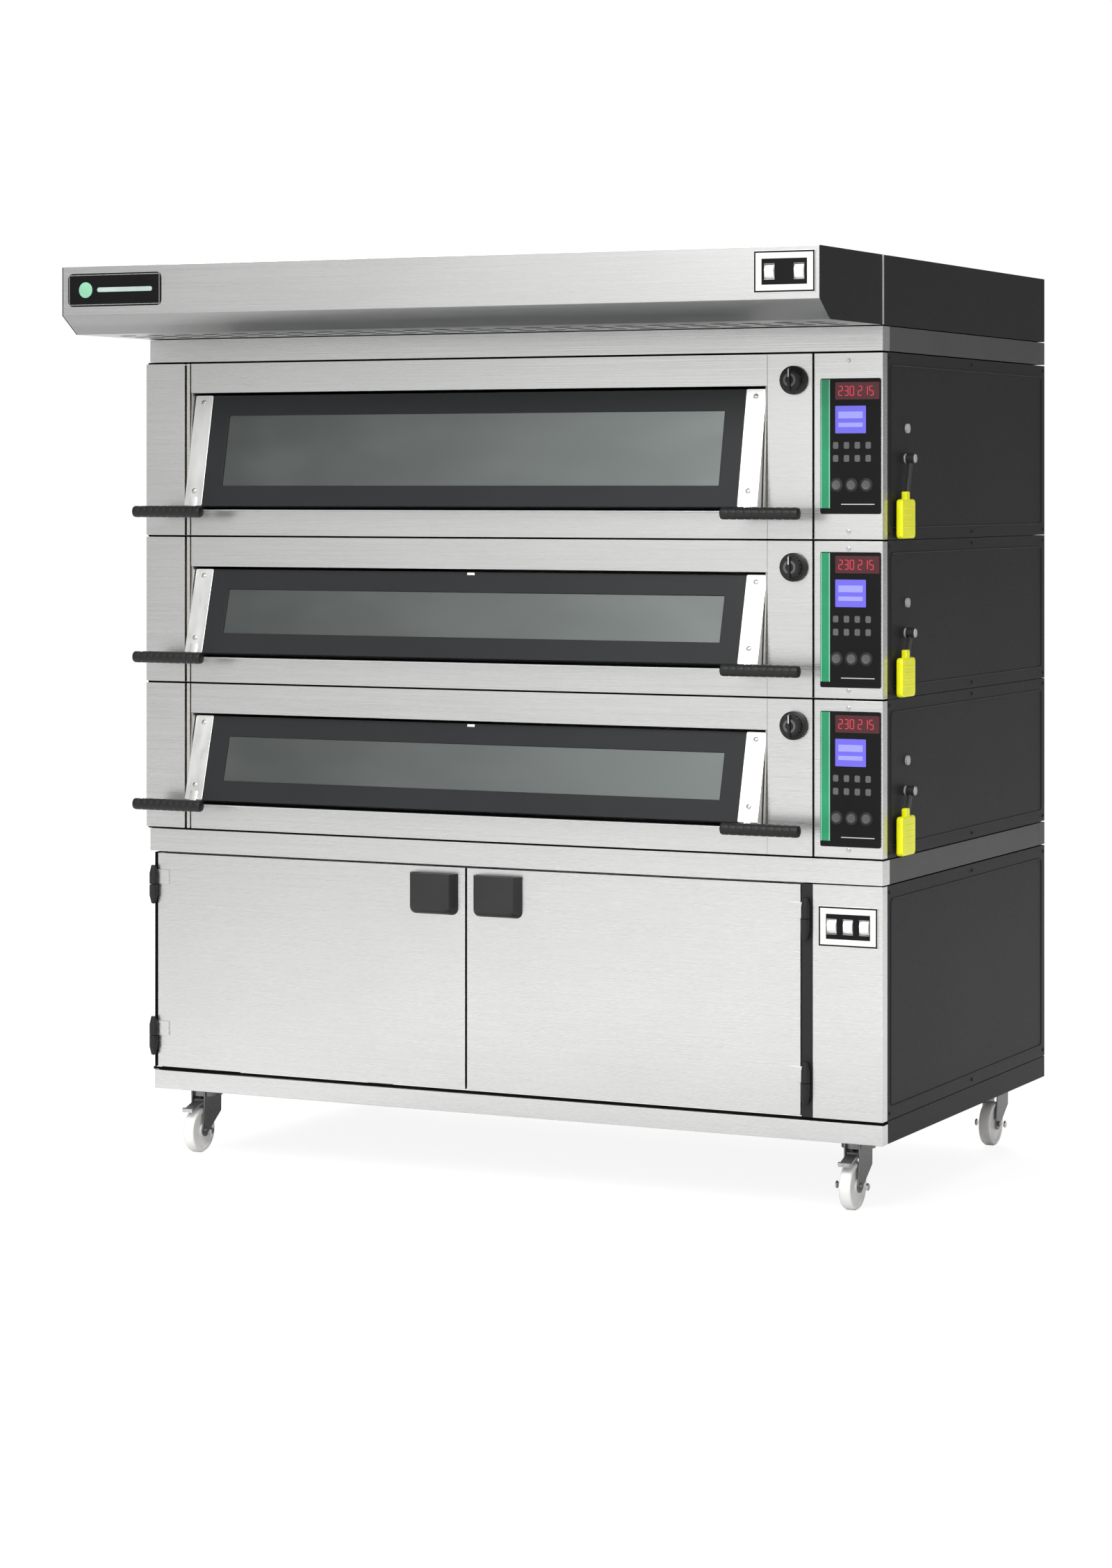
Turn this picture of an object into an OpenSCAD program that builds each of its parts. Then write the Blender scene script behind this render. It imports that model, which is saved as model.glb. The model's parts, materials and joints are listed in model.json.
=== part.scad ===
// Three-deck bakery oven on a prover cabinet, with an extraction hood and casters.
// Millimetres, +Z up. The origin is on the floor, midway between the body's sides
// and midway between the hood's front face and the body's back.

/* [Overall] */
// Width of the oven body
body_w = 1780; // [1400:10:2200]
// Depth of the oven body, front panels to back
body_d = 1040; // [950:10:1300]
// Floor to the underside of the base frame
caster_h = 150; // [145:1:190]
// Height of the base rail
rail_h = 48; // [40:1:70]
// Height of the prover cabinet
prover_h = 487; // [400:1:650]
// Height of the bands under and over the decks
band_h = 55; // [40:1:80]
// Height of the lower and middle decks
low_deck_h = 330; // [300:1:380]
// Height of the upper deck
top_deck_h = 390; // [330:1:460]
// Height of the hood
hood_h = 145; // [125:1:200]
// Reach of the hood in front of the oven
hood_reach = 345; // [250:5:450]

/* [Sheet metal] */
// Thickness of covers and fronts
sheet = 1.5; // [1:0.1:2]
// Seam between separate sheets
seam = 0.5; // [0.3:0.1:1]
// Dark gap between the fronts of the decks and the bands
deck_gap = 4; // [1:0.5:6]
// Dark grooves beside the strip and the control column
groove_t = 4.5; // [2:0.5:6]
// Gap between the front rail and the prover
rail_gap = 6; // [1:0.5:8]
// Width of the bright corner returns on the sides
corner_return = 27; // [20:1:40]
// How far the prover front sits in from the left side
left_inset = 22; // [10:1:30]

/* [Deck front] */
// Width of the left pillar
pillar_w = 101; // [80:1:130]
// Width of the grooved strip beside the pillar
groove_w = 17; // [12:1:24]
// Width of the jamb between the opening and the control column
jamb_w = 106; // [90:1:130]
// Width of the control column
column_w = 152; // [140:1:190]
// Deck floor to the sill of the opening
sill_rise = 60; // [56:1:75]
// Deck top down to the top of the opening
lintel_drop = 68; // [60:1:80]
// Depth of the recess that the door sits in
mouth_depth = 46; // [44:1:70]
// Thickness of the pivot plates at the opening's ends
pivot_plate = 4; // [3:0.5:6]

/* [Oven door] */
// How much further forward the door's foot is than its head
door_lean = 54; // [30:1:60]
// Thickness of the door
door_t = 26; // [22:1:30]
// Setback of the door's head behind the fascia
door_setback = 10; // [8:1:14]
// Clearance beside the door
door_side_gap = 1.5; // [1:0.5:3]
// Clearance over the door
door_head_gap = 6; // [5:0.5:10]
// Clearance under the door
door_foot_gap = 3; // [2:0.5:6]
// Width of the bright end brackets
bracket_w = 46; // [35:1:55]
// Width of the dark border around the glass
border_w = 46; // [35:1:55]
// Thickness of each glass pane
pane_t = 4; // [3:0.5:5]
// How far the panes reach under the border
pane_lap = 6; // [4:1:10]
// Radius of the door's pivot pins
pivot_r = 5; // [4:0.5:6]
// Pivot axis below the door's head
pivot_drop = 12; // [11:1:16]
// Radius of the grips
grip_r = 13; // [10:1:15]
// Length of each grip
grip_len = 178; // [120:1:180]
// Distance of the grips' axis in front of the door's foot
grip_reach = 32; // [26:1:50]
// Grips' axis below the door's foot
grip_drop = 20; // [15:1:30]

/* [Deck controls] */
// Radius of the damper knob
knob_r = 30; // [24:1:34]
// Depth of the damper knob
knob_depth = 24; // [18:1:30]
// Damper knob's axis below the deck's top
knob_drop = 57; // [50:1:64]
// Radius of the damper spindle
spindle_r = 4; // [3:0.5:5]
// Width of a control unit's face
panel_w = 134; // [110:1:138]
// Height of a control unit's face
panel_h = 281; // [240:1:285]
// Thickness of a control unit's face
panel_t = 3; // [2:0.5:4]
// Radius of the round keys
key_r = 10; // [6:0.5:11]
// Spacing of the round keys
key_pitch = 33; // [23:1:34]
// Height of the round keys over the foot of the panel
key_rise = 60; // [40:1:70]
// Travel of the round keys
key_travel = 1.5; // [1:0.1:2]
// Radial running clearance of pins and keys
run = 0.05; // [0.02:0.01:0.1]

/* [Steam levers] */
// Lever axis behind the front
lever_y = 130; // [110:1:160]
// Radius of the lever's pin
lever_pin_r = 6; // [5:0.5:8]
// Width of the yellow grip
lever_grip_w = 76; // [35:1:80]
// Height of the yellow grip
lever_grip_h = 82; // [60:1:84]
// Thickness of the lever
lever_t = 16; // [10:1:24]
// Centre of the yellow grip in front of the lever's axis
lever_crank = 30; // [0:1:36]
// Foot of the yellow grip over the deck's floor
lever_foot = 3; // [2:1:10]
// Lever axis over the floor of the two lower decks
low_lever_rise = 135; // [125:1:150]
// Lever axis over the floor of the upper deck
top_lever_rise = 170; // [150:1:190]

/* [Baking chamber] */
// Thickness of the chamber lining
liner_t = 2; // [1.5:0.5:3]
// Depth of the chamber
chamber_d = 880; // [700:10:900]
// Thickness of the hearth stone
stone_t = 20; // [15:1:24]
// Radius of a heating rod
rod_r = 4; // [3:0.5:5]
// Number of heating rods above and below each chamber
rod_count = 4; // [2:1:8]
// Space above the opening for the upper rods
rod_space = 20; // [16:1:24]

/* [Prover] */
// Thickness of the prover doors
prover_door_t = 24; // [20:1:30]
// Gap around the prover doors
prover_gap = 5; // [2:0.5:6]
// Width of the black hinge post
hinge_post_w = 25; // [20:1:32]
// Radius of a hinge pin
hinge_pin_r = 4; // [3:0.5:5]
// Height of a hinge
hinge_h = 66; // [50:1:80]
// Hinge centre from the top and the bottom of the prover doors
hinge_inset = 70; // [50:1:90]
// Width of a cup handle
cup_w = 117; // [90:1:130]
// Height of a cup handle
cup_h = 90; // [70:1:100]
// Depth of a cup handle
cup_depth = 24; // [20:1:32]
// Wall of a cup handle
cup_wall = 3; // [2.5:0.5:4]
// Distance from a cup handle to the door's free edge
cup_edge = 17; // [12:1:40]
// Distance from a cup handle to the door's top edge
cup_top = 14; // [12:1:30]
// Number of tray levels
runner_count = 5; // [3:1:7]

/* [Rockers] */
// Width of a rocker plate
plate_w = 132; // [126:1:140]
// Height of a rocker plate
plate_h = 84; // [70:1:90]
// Radius of a rocker's drum
rocker_r = 15; // [12:0.5:17]
// Width of a rocker
rocker_w = 20; // [16:1:24]
// Spacing of the three prover rockers
rocker_pitch = 36; // [32:1:38]
// Full swing of a rocker
rocker_swing = 16; // [10:1:20]

/* [Casters] */
// Radius of a wheel
wheel_r = 50; // [45:1:52]
// Width of a wheel
wheel_w = 26; // [20:1:36]
// Slope of the brake pedals
pedal_slope = 18; // [0:1:20]
// Distance of the wheel's axle in front of the swivel axis
trail = 35; // [30:1:40]
// Swivel axis in from the sides
caster_in_x = 95; // [90:1:140]
// Swivel axis behind the front
caster_in_front = 107; // [100:1:140]
// Swivel axis in from the back
caster_in_back = 66; // [60:1:120]
// Radius of the king pin
king_r = 10; // [8:0.5:12]
// Radius of the axle
axle_r = 6; // [5:0.5:8]

/* [Services] */
// Outer radius of the flue spigot
flue_r = 75; // [60:1:100]
// Height of the flue spigot over the hood
flue_h = 50; // [40:1:60]
// Radius of the cable gland's hole
gland_r = 10; // [8:0.5:14]
// Radius of the water inlet
inlet_r = 13.2; // [10:0.1:17]

/* [Hidden] */
DECKS = ["lower", "middle", "upper"];
$fn = 48;
eps = 0.01;

// Places of the body
x_left = -body_w / 2;
x_right = body_w / 2;
y_hood = -(body_d + hood_reach) / 2;
y_front = y_hood + hood_reach;
y_back = y_front + body_d;
z_rail = caster_h;
z_prover = z_rail + rail_h;
z_base_band = z_prover + prover_h;
z_decks = z_base_band + band_h;
z_top_band = z_decks + 2 * low_deck_h + top_deck_h;
z_hood = z_top_band + band_h;
z_top = z_hood + hood_h;
x_base = x_left + left_inset;

function deck_h(i) = i == 2 ? top_deck_h : low_deck_h;
function deck_z(i) = z_decks + i * low_deck_h;

// Door opening of deck i
open_x0 = x_left + pillar_w + groove_w;
open_x1 = x_right - column_w - jamb_w;
function open_z0(i) = deck_z(i) + sill_rise;
function open_z1(i) = deck_z(i) + deck_h(i) - lintel_drop;
function open_h(i) = open_z1(i) - open_z0(i);

// Oven door i, whose own frame has its origin on the pivot axis and +Z up the slab
door_x0 = open_x0 + seam + pivot_plate + door_side_gap;
door_x1 = open_x1 - seam - pivot_plate - door_side_gap;
function door_angle(i) = atan(door_lean / (open_h(i) - door_head_gap - door_foot_gap));
function door_len(i) = (open_h(i) - door_head_gap - door_foot_gap - door_t * sin(door_angle(i)))
    / cos(door_angle(i));
function pivot_z(i) = open_z1(i) - door_head_gap - pivot_drop * cos(door_angle(i))
    - door_t / 2 * sin(door_angle(i));
pivot_y = y_front + door_setback + door_t / 2;
function foot_back_y(i) = pivot_y - (door_len(i) - pivot_drop) * sin(door_angle(i))
    + door_t / 2 * cos(door_angle(i));
function foot_front_y(i) = foot_back_y(i) - door_t * cos(door_angle(i));
sill_t = 2;
sill_set = 3;
mouth_y = y_front + mouth_depth;

// Control column
column_x0 = x_right - column_w;
panel_shift = 5;
panel_x0 = column_x0 + (column_w - panel_w) / 2 + panel_shift;
function panel_z(i) = deck_z(i) + (deck_h(i) - panel_h) / 2;
unit_inset = 10;
unit_depth = 40;
key_x0 = 20;
function key_x(k) = panel_x0 + key_x0 + (k + 0.5) * key_pitch;
function key_z(i) = panel_z(i) + key_rise;
key_len = 10;
key_proud = 2.5;
knob_x = open_x1 + jamb_w / 2 + 8;
function knob_z(i) = deck_z(i) + deck_h(i) - knob_drop;

// Steam lever
function lever_z(i) = deck_z(i) + (i == 2 ? top_lever_rise : low_lever_rise);
lever_boss_r = 10;
lever_x0 = x_right + 5;
lever_end = lever_x0 + lever_t + 0.5;

// Baking chamber
chamber_y1 = mouth_y + seam + chamber_d;
liner_x0 = door_x0 - door_side_gap - liner_t;
liner_x1 = door_x1 + door_side_gap + liner_t;
hearth_gap = 2;
function stone_z(i) = open_z0(i) - stone_t;
function roof_z(i) = open_z1(i) + rod_space;
function rod_y(k) = mouth_y + chamber_d * (k + 0.5) / rod_count;

// Prover
door_z0 = z_prover + prover_gap / 2;
door_z1 = z_base_band - prover_gap / 2;
prover_door_x0 = x_base + 9;
post_gap = 2;
prover_door_x1 = column_x0 - 3 * post_gap - hinge_post_w;
post_x0 = prover_door_x1 + post_gap;
post_x1 = post_x0 + hinge_post_w;
prover_mid = (prover_door_x0 + prover_door_x1) / 2;
cabin_y0 = y_front + prover_door_t + 3;
cabin_y1 = y_back - 60;
cabin_x0 = prover_door_x0 + 10;
cabin_x1 = prover_door_x1 - post_gap;
knuckle_r = 7;
hinge_y = y_front - knuckle_r - 1;
left_hinge_x = prover_door_x0 - knuckle_r;
right_hinge_x = (post_x0 + post_x1) / 2;
hinge_zs = [door_z0 + hinge_inset, door_z1 - hinge_inset];
cup_z1 = door_z1 - cup_top;
runner_w = 40;

// Rockers
plate_x = x_right - 10 - plate_w / 2;
prover_plate_z = door_z1 - 42 - plate_h / 2;
hood_plate_z = z_hood + hood_h / 2 + 22;
rocker_axis = 10;
rocker_gap = 0.5;
rocker_stub_r = 2;
hood_rocker_pitch = 64;
rocker_frame = 3;
rocker_back = rocker_axis + rocker_r + 2;

// Hood
chamfer_y = y_hood + 56;
chamfer_z = z_hood + 39;
flue_y = y_back - 250;
flue_wall = 2;
flue_flange = 190;
fan_size = 260;

// Casters
king_z0 = wheel_r * 2 + 22;
head_z0 = king_z0 + 4;
head_z1 = caster_h - 4 - 1;
fork_gap = wheel_w + 4;
fork_t = 3;
head_r = 36;
pedal_y = trail - 5;
pedal_z = wheel_r * 2 + 14;
pedal_pin_r = 4;
function caster_x(side) = side * (body_w / 2 - caster_in_x);
front_caster_y = y_front + caster_in_front;
back_caster_y = y_back - caster_in_back;

// A box between two opposite corners
module block(a, b) { translate(a) cube(b - a); }
// A cylinder along X, from x0 to x1
module rod_x(x0, x1, y, z, r) { translate([x0, y, z]) rotate([0, 90, 0]) cylinder(r = r, h = x1 - x0); }
// A cylinder along Y, from y0 to y1
module rod_y_axis(y0, y1, x, z, r) { translate([x, y0, z]) rotate([-90, 0, 0]) cylinder(r = r, h = y1 - y0); }
// A side-view outline, (Y, Z), given thickness from x0 to x1
module side_plate(x0, x1, points) {
    translate([x0, 0, 0]) rotate([90, 0, 90]) linear_extrude(x1 - x0) polygon(points);
}
// A folded channel: a box hollowed from one side, the side that open points to
module channel(a, b, wall, open) {
    difference() {
        block(a, b);
        block([for (k = [0 : 2]) a[k] + (open[k] < 0 ? -1 : wall)],
            [for (k = [0 : 2]) b[k] + (open[k] > 0 ? 1 : -wall)]);
    }
}

// Welded base frame: rails, cross members, caster pads and king pins
rail_w = 60;
rail_wall = 3;
front_rail_d = 30;
module base_frame() {
    z1 = z_prover - seam;
    inner_x0 = x_base + rail_w + seam;
    inner_x1 = x_right - rail_w - seam;
    color("silver") {
        channel([x_base, y_front, z_rail], [x_right, y_front + front_rail_d, z_prover - rail_gap],
            rail_wall, [0, 1, 0]);
        channel([inner_x0, y_back - front_rail_d, z_rail + seam], [inner_x1, y_back, z1], rail_wall, [0, -1, 0]);
        for (side = [-1, 1]) {
            x0 = side < 0 ? x_base : x_right - rail_w;
            channel([x0, y_front + front_rail_d + seam, z_rail], [x0 + rail_w, y_back, z1], rail_wall, [-side, 0, 0]);
            for (y = [front_caster_y, back_caster_y]) caster_pad(caster_x(side), y);
        }
        for (k = [1, 2]) {
            y = y_front + body_d * k / 3;
            channel([inner_x0, y, z_rail + seam], [inner_x1, y + cross_w, z1], rail_wall, [0, 0, -1]);
        }
    }
}
cross_w = 40;
pad_size = 100;
pad_t = 4;
module caster_pad(x, y) {
    block([x - pad_size / 2, y - pad_size / 2, caster_h - pad_t], [x + pad_size / 2, y + pad_size / 2, caster_h]);
    translate([x, y, king_z0 + 2]) cylinder(r = king_r, h = caster_h - pad_t - king_z0 - 2 + eps);
    translate([x, y, king_z0 - 4]) cylinder(r = king_r + 5, h = 7);
}

// Prover cabin sheets and the front of the prover's control column
module prover_cabinet() {
    z0 = z_prover + seam;
    z1 = z_base_band - seam;
    color("gainsboro") {
        block([cabin_x0, cabin_y0, z0], [cabin_x1, cabin_y1, z0 + sheet]);
        block([cabin_x0, cabin_y0, z1 - sheet], [cabin_x1, cabin_y1, z1]);
        block([cabin_x0, cabin_y0, z0 + sheet + seam], [cabin_x0 + sheet, cabin_y1, z1 - sheet - seam]);
        block([cabin_x1 - sheet, cabin_y0, z0 + sheet + seam], [cabin_x1, cabin_y1, z1 - sheet - seam]);
        block([cabin_x0, cabin_y1 + seam, z0], [cabin_x1, cabin_y1 + seam + sheet, z1]);
        difference() {
            union() {
                block([post_x1 + seam, y_front, z0], [x_right, y_front + sheet, z1]);
                block([x_right - sheet, y_front, z0], [x_right, y_front + corner_return, z1]);
            }
            rocker_cutout(plate_x, y_front, prover_plate_z);
        }
    }
}

// Tray runners, water pan and heater of the prover
module prover_racks() {
    inner_z0 = z_prover + 60;
    inner_h = prover_h - 90;
    color("lightgray") {
        for (k = [0 : runner_count - 1]) {
            z = inner_z0 + inner_h * (k + 0.5) / runner_count;
            for (x = [cabin_x0 + sheet, cabin_x1 - sheet - runner_w])
                block([x, cabin_y0 + 30, z], [x + runner_w, cabin_y1 - 20, z + sheet]);
        }
        difference() {
            block([-250, cabin_y1 - 260, z_prover + 4], [250, cabin_y1 - 60, z_prover + 44]);
            block([-248, cabin_y1 - 258, z_prover + 6], [248, cabin_y1 - 62, z_prover + 45]);
        }
    }
    color("dimgray") rod_x(-220, 220, cabin_y1 - 160, z_prover + 16, 6);
}

// Fixed hinge halves with their pins, and the black hinge post
module prover_hinges() {
    color([0.1, 0.1, 0.1]) {
        block([post_x0, y_front + 1, z_prover + seam], [post_x1, y_front + 20, z_base_band - seam]);
        for (z = hinge_zs) {
            fixed_knuckle(left_hinge_x, z);
            block([x_base - 4, hinge_y, z - hinge_h / 2], [x_base - seam, y_front + 40, z - 1]);
            block([x_base - 4, hinge_y - 3, z - hinge_h / 2], [left_hinge_x - hinge_pin_r, hinge_y + 3, z - 1]);
            fixed_knuckle(right_hinge_x, z);
            block([right_hinge_x - 4, hinge_y + hinge_pin_r, z - hinge_h / 2],
                [right_hinge_x + 4, y_front + 1 + eps, z - 1]);
        }
    }
}
module fixed_knuckle(x, z) {
    translate([x, hinge_y, z - hinge_h / 2]) cylinder(r = knuckle_r, h = hinge_h / 2 - 1);
    translate([x, hinge_y, z - 2]) cylinder(r = hinge_pin_r, h = hinge_h / 2);
}

// Spacer bands under and over the decks
bar_w = 40;
module cabinet_bands() {
    x0 = x_left + bar_w / 4;
    color("silver") for (level = [z_base_band, z_top_band]) {
        z = level + deck_gap / 2;
        z1 = level + band_h - deck_gap / 2;
        channel([x0, y_front, z], [x_right, y_front + bar_w, z1], sheet, [0, 1, 0]);
        difference() {
            channel([x0, y_back - bar_w, z], [x_right, y_back, z1], sheet, [0, -1, 0]);
            rod_y_axis(y_back - bar_w, y_back + 1, gland_x, service_z, gland_r + 2);
            rod_y_axis(y_back - bar_w, y_back + 1, inlet_x, service_z, inlet_r - 1);
        }
        for (side = [-1, 1]) {
            x = side < 0 ? x0 : x_right - bar_w;
            channel([x, y_front + bar_w + seam, z], [x + bar_w, y_back - bar_w - seam, z1], sheet, [-side, 0, 0]);
        }
    }
}

// Stainless fronts, door recess plates and control columns of the decks
module deck_fronts() {
    color("gainsboro") for (i = [0 : 2]) deck_front(i);
}
module deck_front(i) {
    z0 = deck_z(i) + deck_gap / 2;
    z1 = deck_z(i) + deck_h(i) - deck_gap / 2;
    o0 = open_z0(i);
    o1 = open_z1(i);
    // left pillar with its corner return, and the groove strip
    block([x_left, y_front, z0], [x_left + pillar_w, y_front + sheet, z1]);
    block([x_left, y_front, z0], [x_left + sheet, y_front + corner_return, z1]);
    block([x_left + pillar_w + groove_t, y_front + 2, z0], [open_x0 - groove_t, y_front + 2 + sheet, z1]);
    // sheets under and over the opening, and the jamb with the damper's hole
    block([open_x0, y_front, z0], [open_x1, y_front + sheet, o0 - sill_t - seam]);
    block([open_x0, y_front, o1 + seam], [open_x1, y_front + sheet, z1]);
    difference() {
        block([open_x1 + seam, y_front, z0], [column_x0 - groove_t, y_front + sheet, z1]);
        rod_y_axis(y_front - 1, y_front + 4, knob_x, knob_z(i), spindle_r + run);
    }
    // control column with its corner return
    difference() {
        union() {
            block([column_x0, y_front, z0], [x_right, y_front + sheet, z1]);
            block([x_right - sheet, y_front, z0], [x_right, y_front + corner_return, z1]);
        }
        block([panel_x0 + unit_inset - seam, y_front - 1, panel_z(i) + unit_inset - seam],
            [panel_x0 + panel_w - unit_inset + seam, y_front + 3, panel_z(i) + panel_h - unit_inset + seam]);
    }
    // sill and lintel of the recess
    block([open_x0 + seam, foot_front_y(i) + sill_set, o0 - sill_t], [open_x1 - seam, mouth_y, o0]);
    block([open_x0 + seam, y_front + 2, o1], [open_x1 - seam, mouth_y, o1 + sill_t]);
    // pivot plates at the two ends
    for (x = [open_x0 + seam, open_x1 - seam - pivot_plate]) difference() {
        side_plate(x, x + pivot_plate, [[mouth_y, o0 + seam], [mouth_y, o1 - seam],
            [y_front + 1, o1 - seam], [y_front + 1, pivot_z(i)], [foot_back_y(i), o0 + seam]]);
        rod_x(x - 1, x + pivot_plate + 1, pivot_y, pivot_z(i), pivot_r + run);
    }
}

// Dark side covers and the back covers of the decks and the prover
module outer_covers() {
    y0 = y_front + corner_return + 2;
    color([0.2, 0.2, 0.21]) {
        for (x = [x_left, x_right - sheet]) for (i = [0 : 2])
            block([x, y0, deck_z(i) + seam], [x + sheet, y_back - seam - sheet, deck_z(i) + deck_h(i) - seam]);
        block([x_base - seam, y_front + 2, z_prover + seam],
            [x_base - seam + sheet, y_back - seam - sheet, z_base_band - seam]);
        block([x_right - sheet, y0, z_prover + seam],
            [x_right, y_back - seam - sheet, z_base_band - seam]);
        for (i = [0 : 2])
            block([x_left, y_back - sheet, deck_z(i) + seam], [x_right, y_back, deck_z(i) + deck_h(i) - seam]);
        block([x_base, y_back - sheet, z_prover + seam], [x_right, y_back, z_base_band - seam]);
    }
}

// Control units of the decks, rocker plates of the hood and the prover, and the blank hood badge
badge_w = 237;
badge_h = 72;
module front_plates() {
    color([0.1, 0.1, 0.1]) {
        for (i = [0 : 2]) difference() {
            union() {
                block([panel_x0, y_front - panel_t, panel_z(i)], [panel_x0 + panel_w, y_front, panel_z(i) + panel_h]);
                block([panel_x0 + unit_inset, y_front - eps, panel_z(i) + unit_inset],
                    [panel_x0 + panel_w - unit_inset, y_front + unit_depth, panel_z(i) + panel_h - unit_inset]);
            }
            for (k = [0 : 2]) rod_y_axis(y_front - panel_t - 1,
                y_front - panel_t - key_proud + key_len + key_travel + 1, key_x(k), key_z(i), key_r + run);
        }
        block([x_left + 16, y_hood - 2, z_top - 15 - badge_h], [x_left + 16 + badge_w, y_hood, z_top - 15]);
    }
    color("silver") {
        rocker_plate(plate_x, y_front, prover_plate_z, [-rocker_pitch, 0, rocker_pitch]);
        rocker_plate(plate_x, y_hood, hood_plate_z, [-hood_rocker_pitch / 2, hood_rocker_pitch / 2]);
    }
}
// A plate with a frame for each rocker behind it; each rocker sits at x + dx
module rocker_plate(x, y, z, offsets) {
    half = rocker_w / 2 + rocker_gap;
    difference() {
        union() {
            block([x - plate_w / 2, y - panel_t, z - plate_h / 2], [x + plate_w / 2, y, z + plate_h / 2]);
            for (dx = offsets)
                block([x + dx - half - rocker_frame, y - eps, z - rocker_r - rocker_gap - rocker_frame],
                    [x + dx + half + rocker_frame, y + rocker_back, z + rocker_r + rocker_gap + rocker_frame]);
        }
        for (dx = offsets) {
            block([x + dx - half, y - panel_t - 1, z - rocker_r - rocker_gap],
                [x + dx + half, y + rocker_back + 1, z + rocker_r + rocker_gap]);
            rod_x(x + dx - half - rocker_frame - 1, x + dx + half + rocker_frame + 1,
                y - panel_t + rocker_axis, z, rocker_stub_r + run);
        }
    }
}
// The hole that a rocker plate's frames pass through
module rocker_cutout(x, y, z) {
    w = plate_w / 2 - 4;
    h = rocker_r + rocker_gap + rocker_frame + seam;
    block([x - w, y - 1, z - h], [x + w, y + 4, z + h]);
}
// A rocker drum with two flats in front, at rest tipped half its swing
module rocker(x, y, z) {
    axis_y = y - panel_t + rocker_axis;
    color("white") translate([x, axis_y, z]) rotate([rocker_swing / 2, 0, 0]) {
        difference() {
            rod_x(-rocker_w / 2, rocker_w / 2, 0, 0, rocker_r);
            for (tip = [-1, 1]) rotate([tip * 14, 0, 0])
                block([-rocker_w, -rocker_r - 4, tip > 0 ? 0 : -rocker_r * 2],
                    [rocker_w, -rocker_r + 1.5, tip > 0 ? rocker_r * 2 : 0]);
        }
        rod_x(-rocker_w / 2 - rocker_frame + 1, rocker_w / 2 + rocker_frame - 1, 0, 0, rocker_stub_r);
    }
}

// Chamber linings and deck floors
module baking_chambers() {
    color("slategray") for (i = [0 : 2]) {
        z0 = stone_z(i) - hearth_gap - rod_r * 4;
        z1 = roof_z(i);
        y0 = mouth_y + seam;
        block([x_left + 4, y_front + 4, deck_z(i) + 1], [x_right - 4, y_back - 4, deck_z(i) + 1 + sheet]);
        block([liner_x0, y0, z0], [liner_x1, chamber_y1, z0 + liner_t]);
        block([liner_x0, y0, z1], [liner_x1, chamber_y1, z1 + liner_t]);
        for (x = [liner_x0, liner_x1 - liner_t])
            block([x, y0, z0 + liner_t + seam], [x + liner_t, chamber_y1, z1 - seam]);
        block([liner_x0, chamber_y1 + seam, z0], [liner_x1, chamber_y1 + seam + liner_t, z1 + liner_t]);
    }
}

// Hearth stones, two slabs side by side in each chamber
module hearth_stones() {
    color("tan") for (i = [0 : 2]) for (half = [0, 1]) {
        x0 = liner_x0 + liner_t + seam;
        w = (liner_x1 - liner_x0 - 2 * liner_t - 3 * seam) / 2;
        block([x0 + half * (w + seam), mouth_y + seam, stone_z(i)],
            [x0 + half * (w + seam) + w, chamber_y1 - 5, stone_z(i) + stone_t - 0.5]);
    }
}

// Heating rods over and under each chamber
module heating_elements() {
    color("dimgray") for (i = [0 : 2]) for (k = [0 : rod_count - 1]) {
        rod_x(liner_x0 + liner_t, liner_x1 - liner_t, rod_y(k), stone_z(i) - rod_r - hearth_gap, rod_r);
        rod_x(liner_x0 + liner_t, liner_x1 - liner_t, rod_y(k), roof_z(i) - rod_r - 3, rod_r);
    }
}

// Steam generator beside each chamber
steam_w = 70;
steam_y0 = 520;
steam_d = 380;
module steam_boxes() {
    color("silver") for (i = [0 : 2]) {
        a = [liner_x1 + 20, y_front + steam_y0, open_z0(i)];
        b = a + [steam_w, steam_d, open_h(i) - 30];
        difference() {
            block(a, b);
            block(a + [2, 2, 2], b + [-2, -2, 1]);
        }
        rod_x(liner_x1 + 1, a[0], y_front + steam_y0 + steam_d / 2, open_z0(i) + open_h(i) / 2, 8);
    }
}

// Mineral wool around the chambers
module insulation() {
    color("khaki") for (i = [0 : 2]) {
        z0 = deck_z(i) + 3;
        floor_z = stone_z(i) - hearth_gap - rod_r * 4 - 1;
        z1 = roof_z(i) + liner_t + 1;
        top = deck_z(i) + deck_h(i) - 3;
        y0 = mouth_y + 3;
        y1 = chamber_y1 + 8;
        block([liner_x0, y0, z0], [liner_x1, y1, floor_z]);
        block([liner_x0, y0, z1], [liner_x1, y1, top]);
        block([x_left + 6, y0, z0], [liner_x0 - 2, y1, top]);
        block([liner_x0, y1 + 1, z0], [liner_x1, y_back - 6, top]);
        block([liner_x1 + 2, y0, z0], [liner_x1 + 80, y_front + steam_y0 - 20, top]);
    }
}

// Front of the hood: face, chamfer and underside from one bent sheet
module hood_canopy() {
    s = sheet;
    outer = [[y_front - 1, z_hood], [chamfer_y, z_hood], [y_hood, chamfer_z], [y_hood, z_top], [y_front - 1, z_top]];
    inner = [[y_front, z_hood + s], [chamfer_y + 0.3, z_hood + s], [y_hood + s, chamfer_z + 0.7],
        [y_hood + s, z_top - s], [y_front, z_top - s]];
    color("gainsboro") difference() {
        side_plate(x_left + s + seam, x_right - s - seam, outer);
        side_plate(x_left, x_right, inner);
        rocker_cutout(plate_x, y_hood, hood_plate_z);
    }
}

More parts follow.
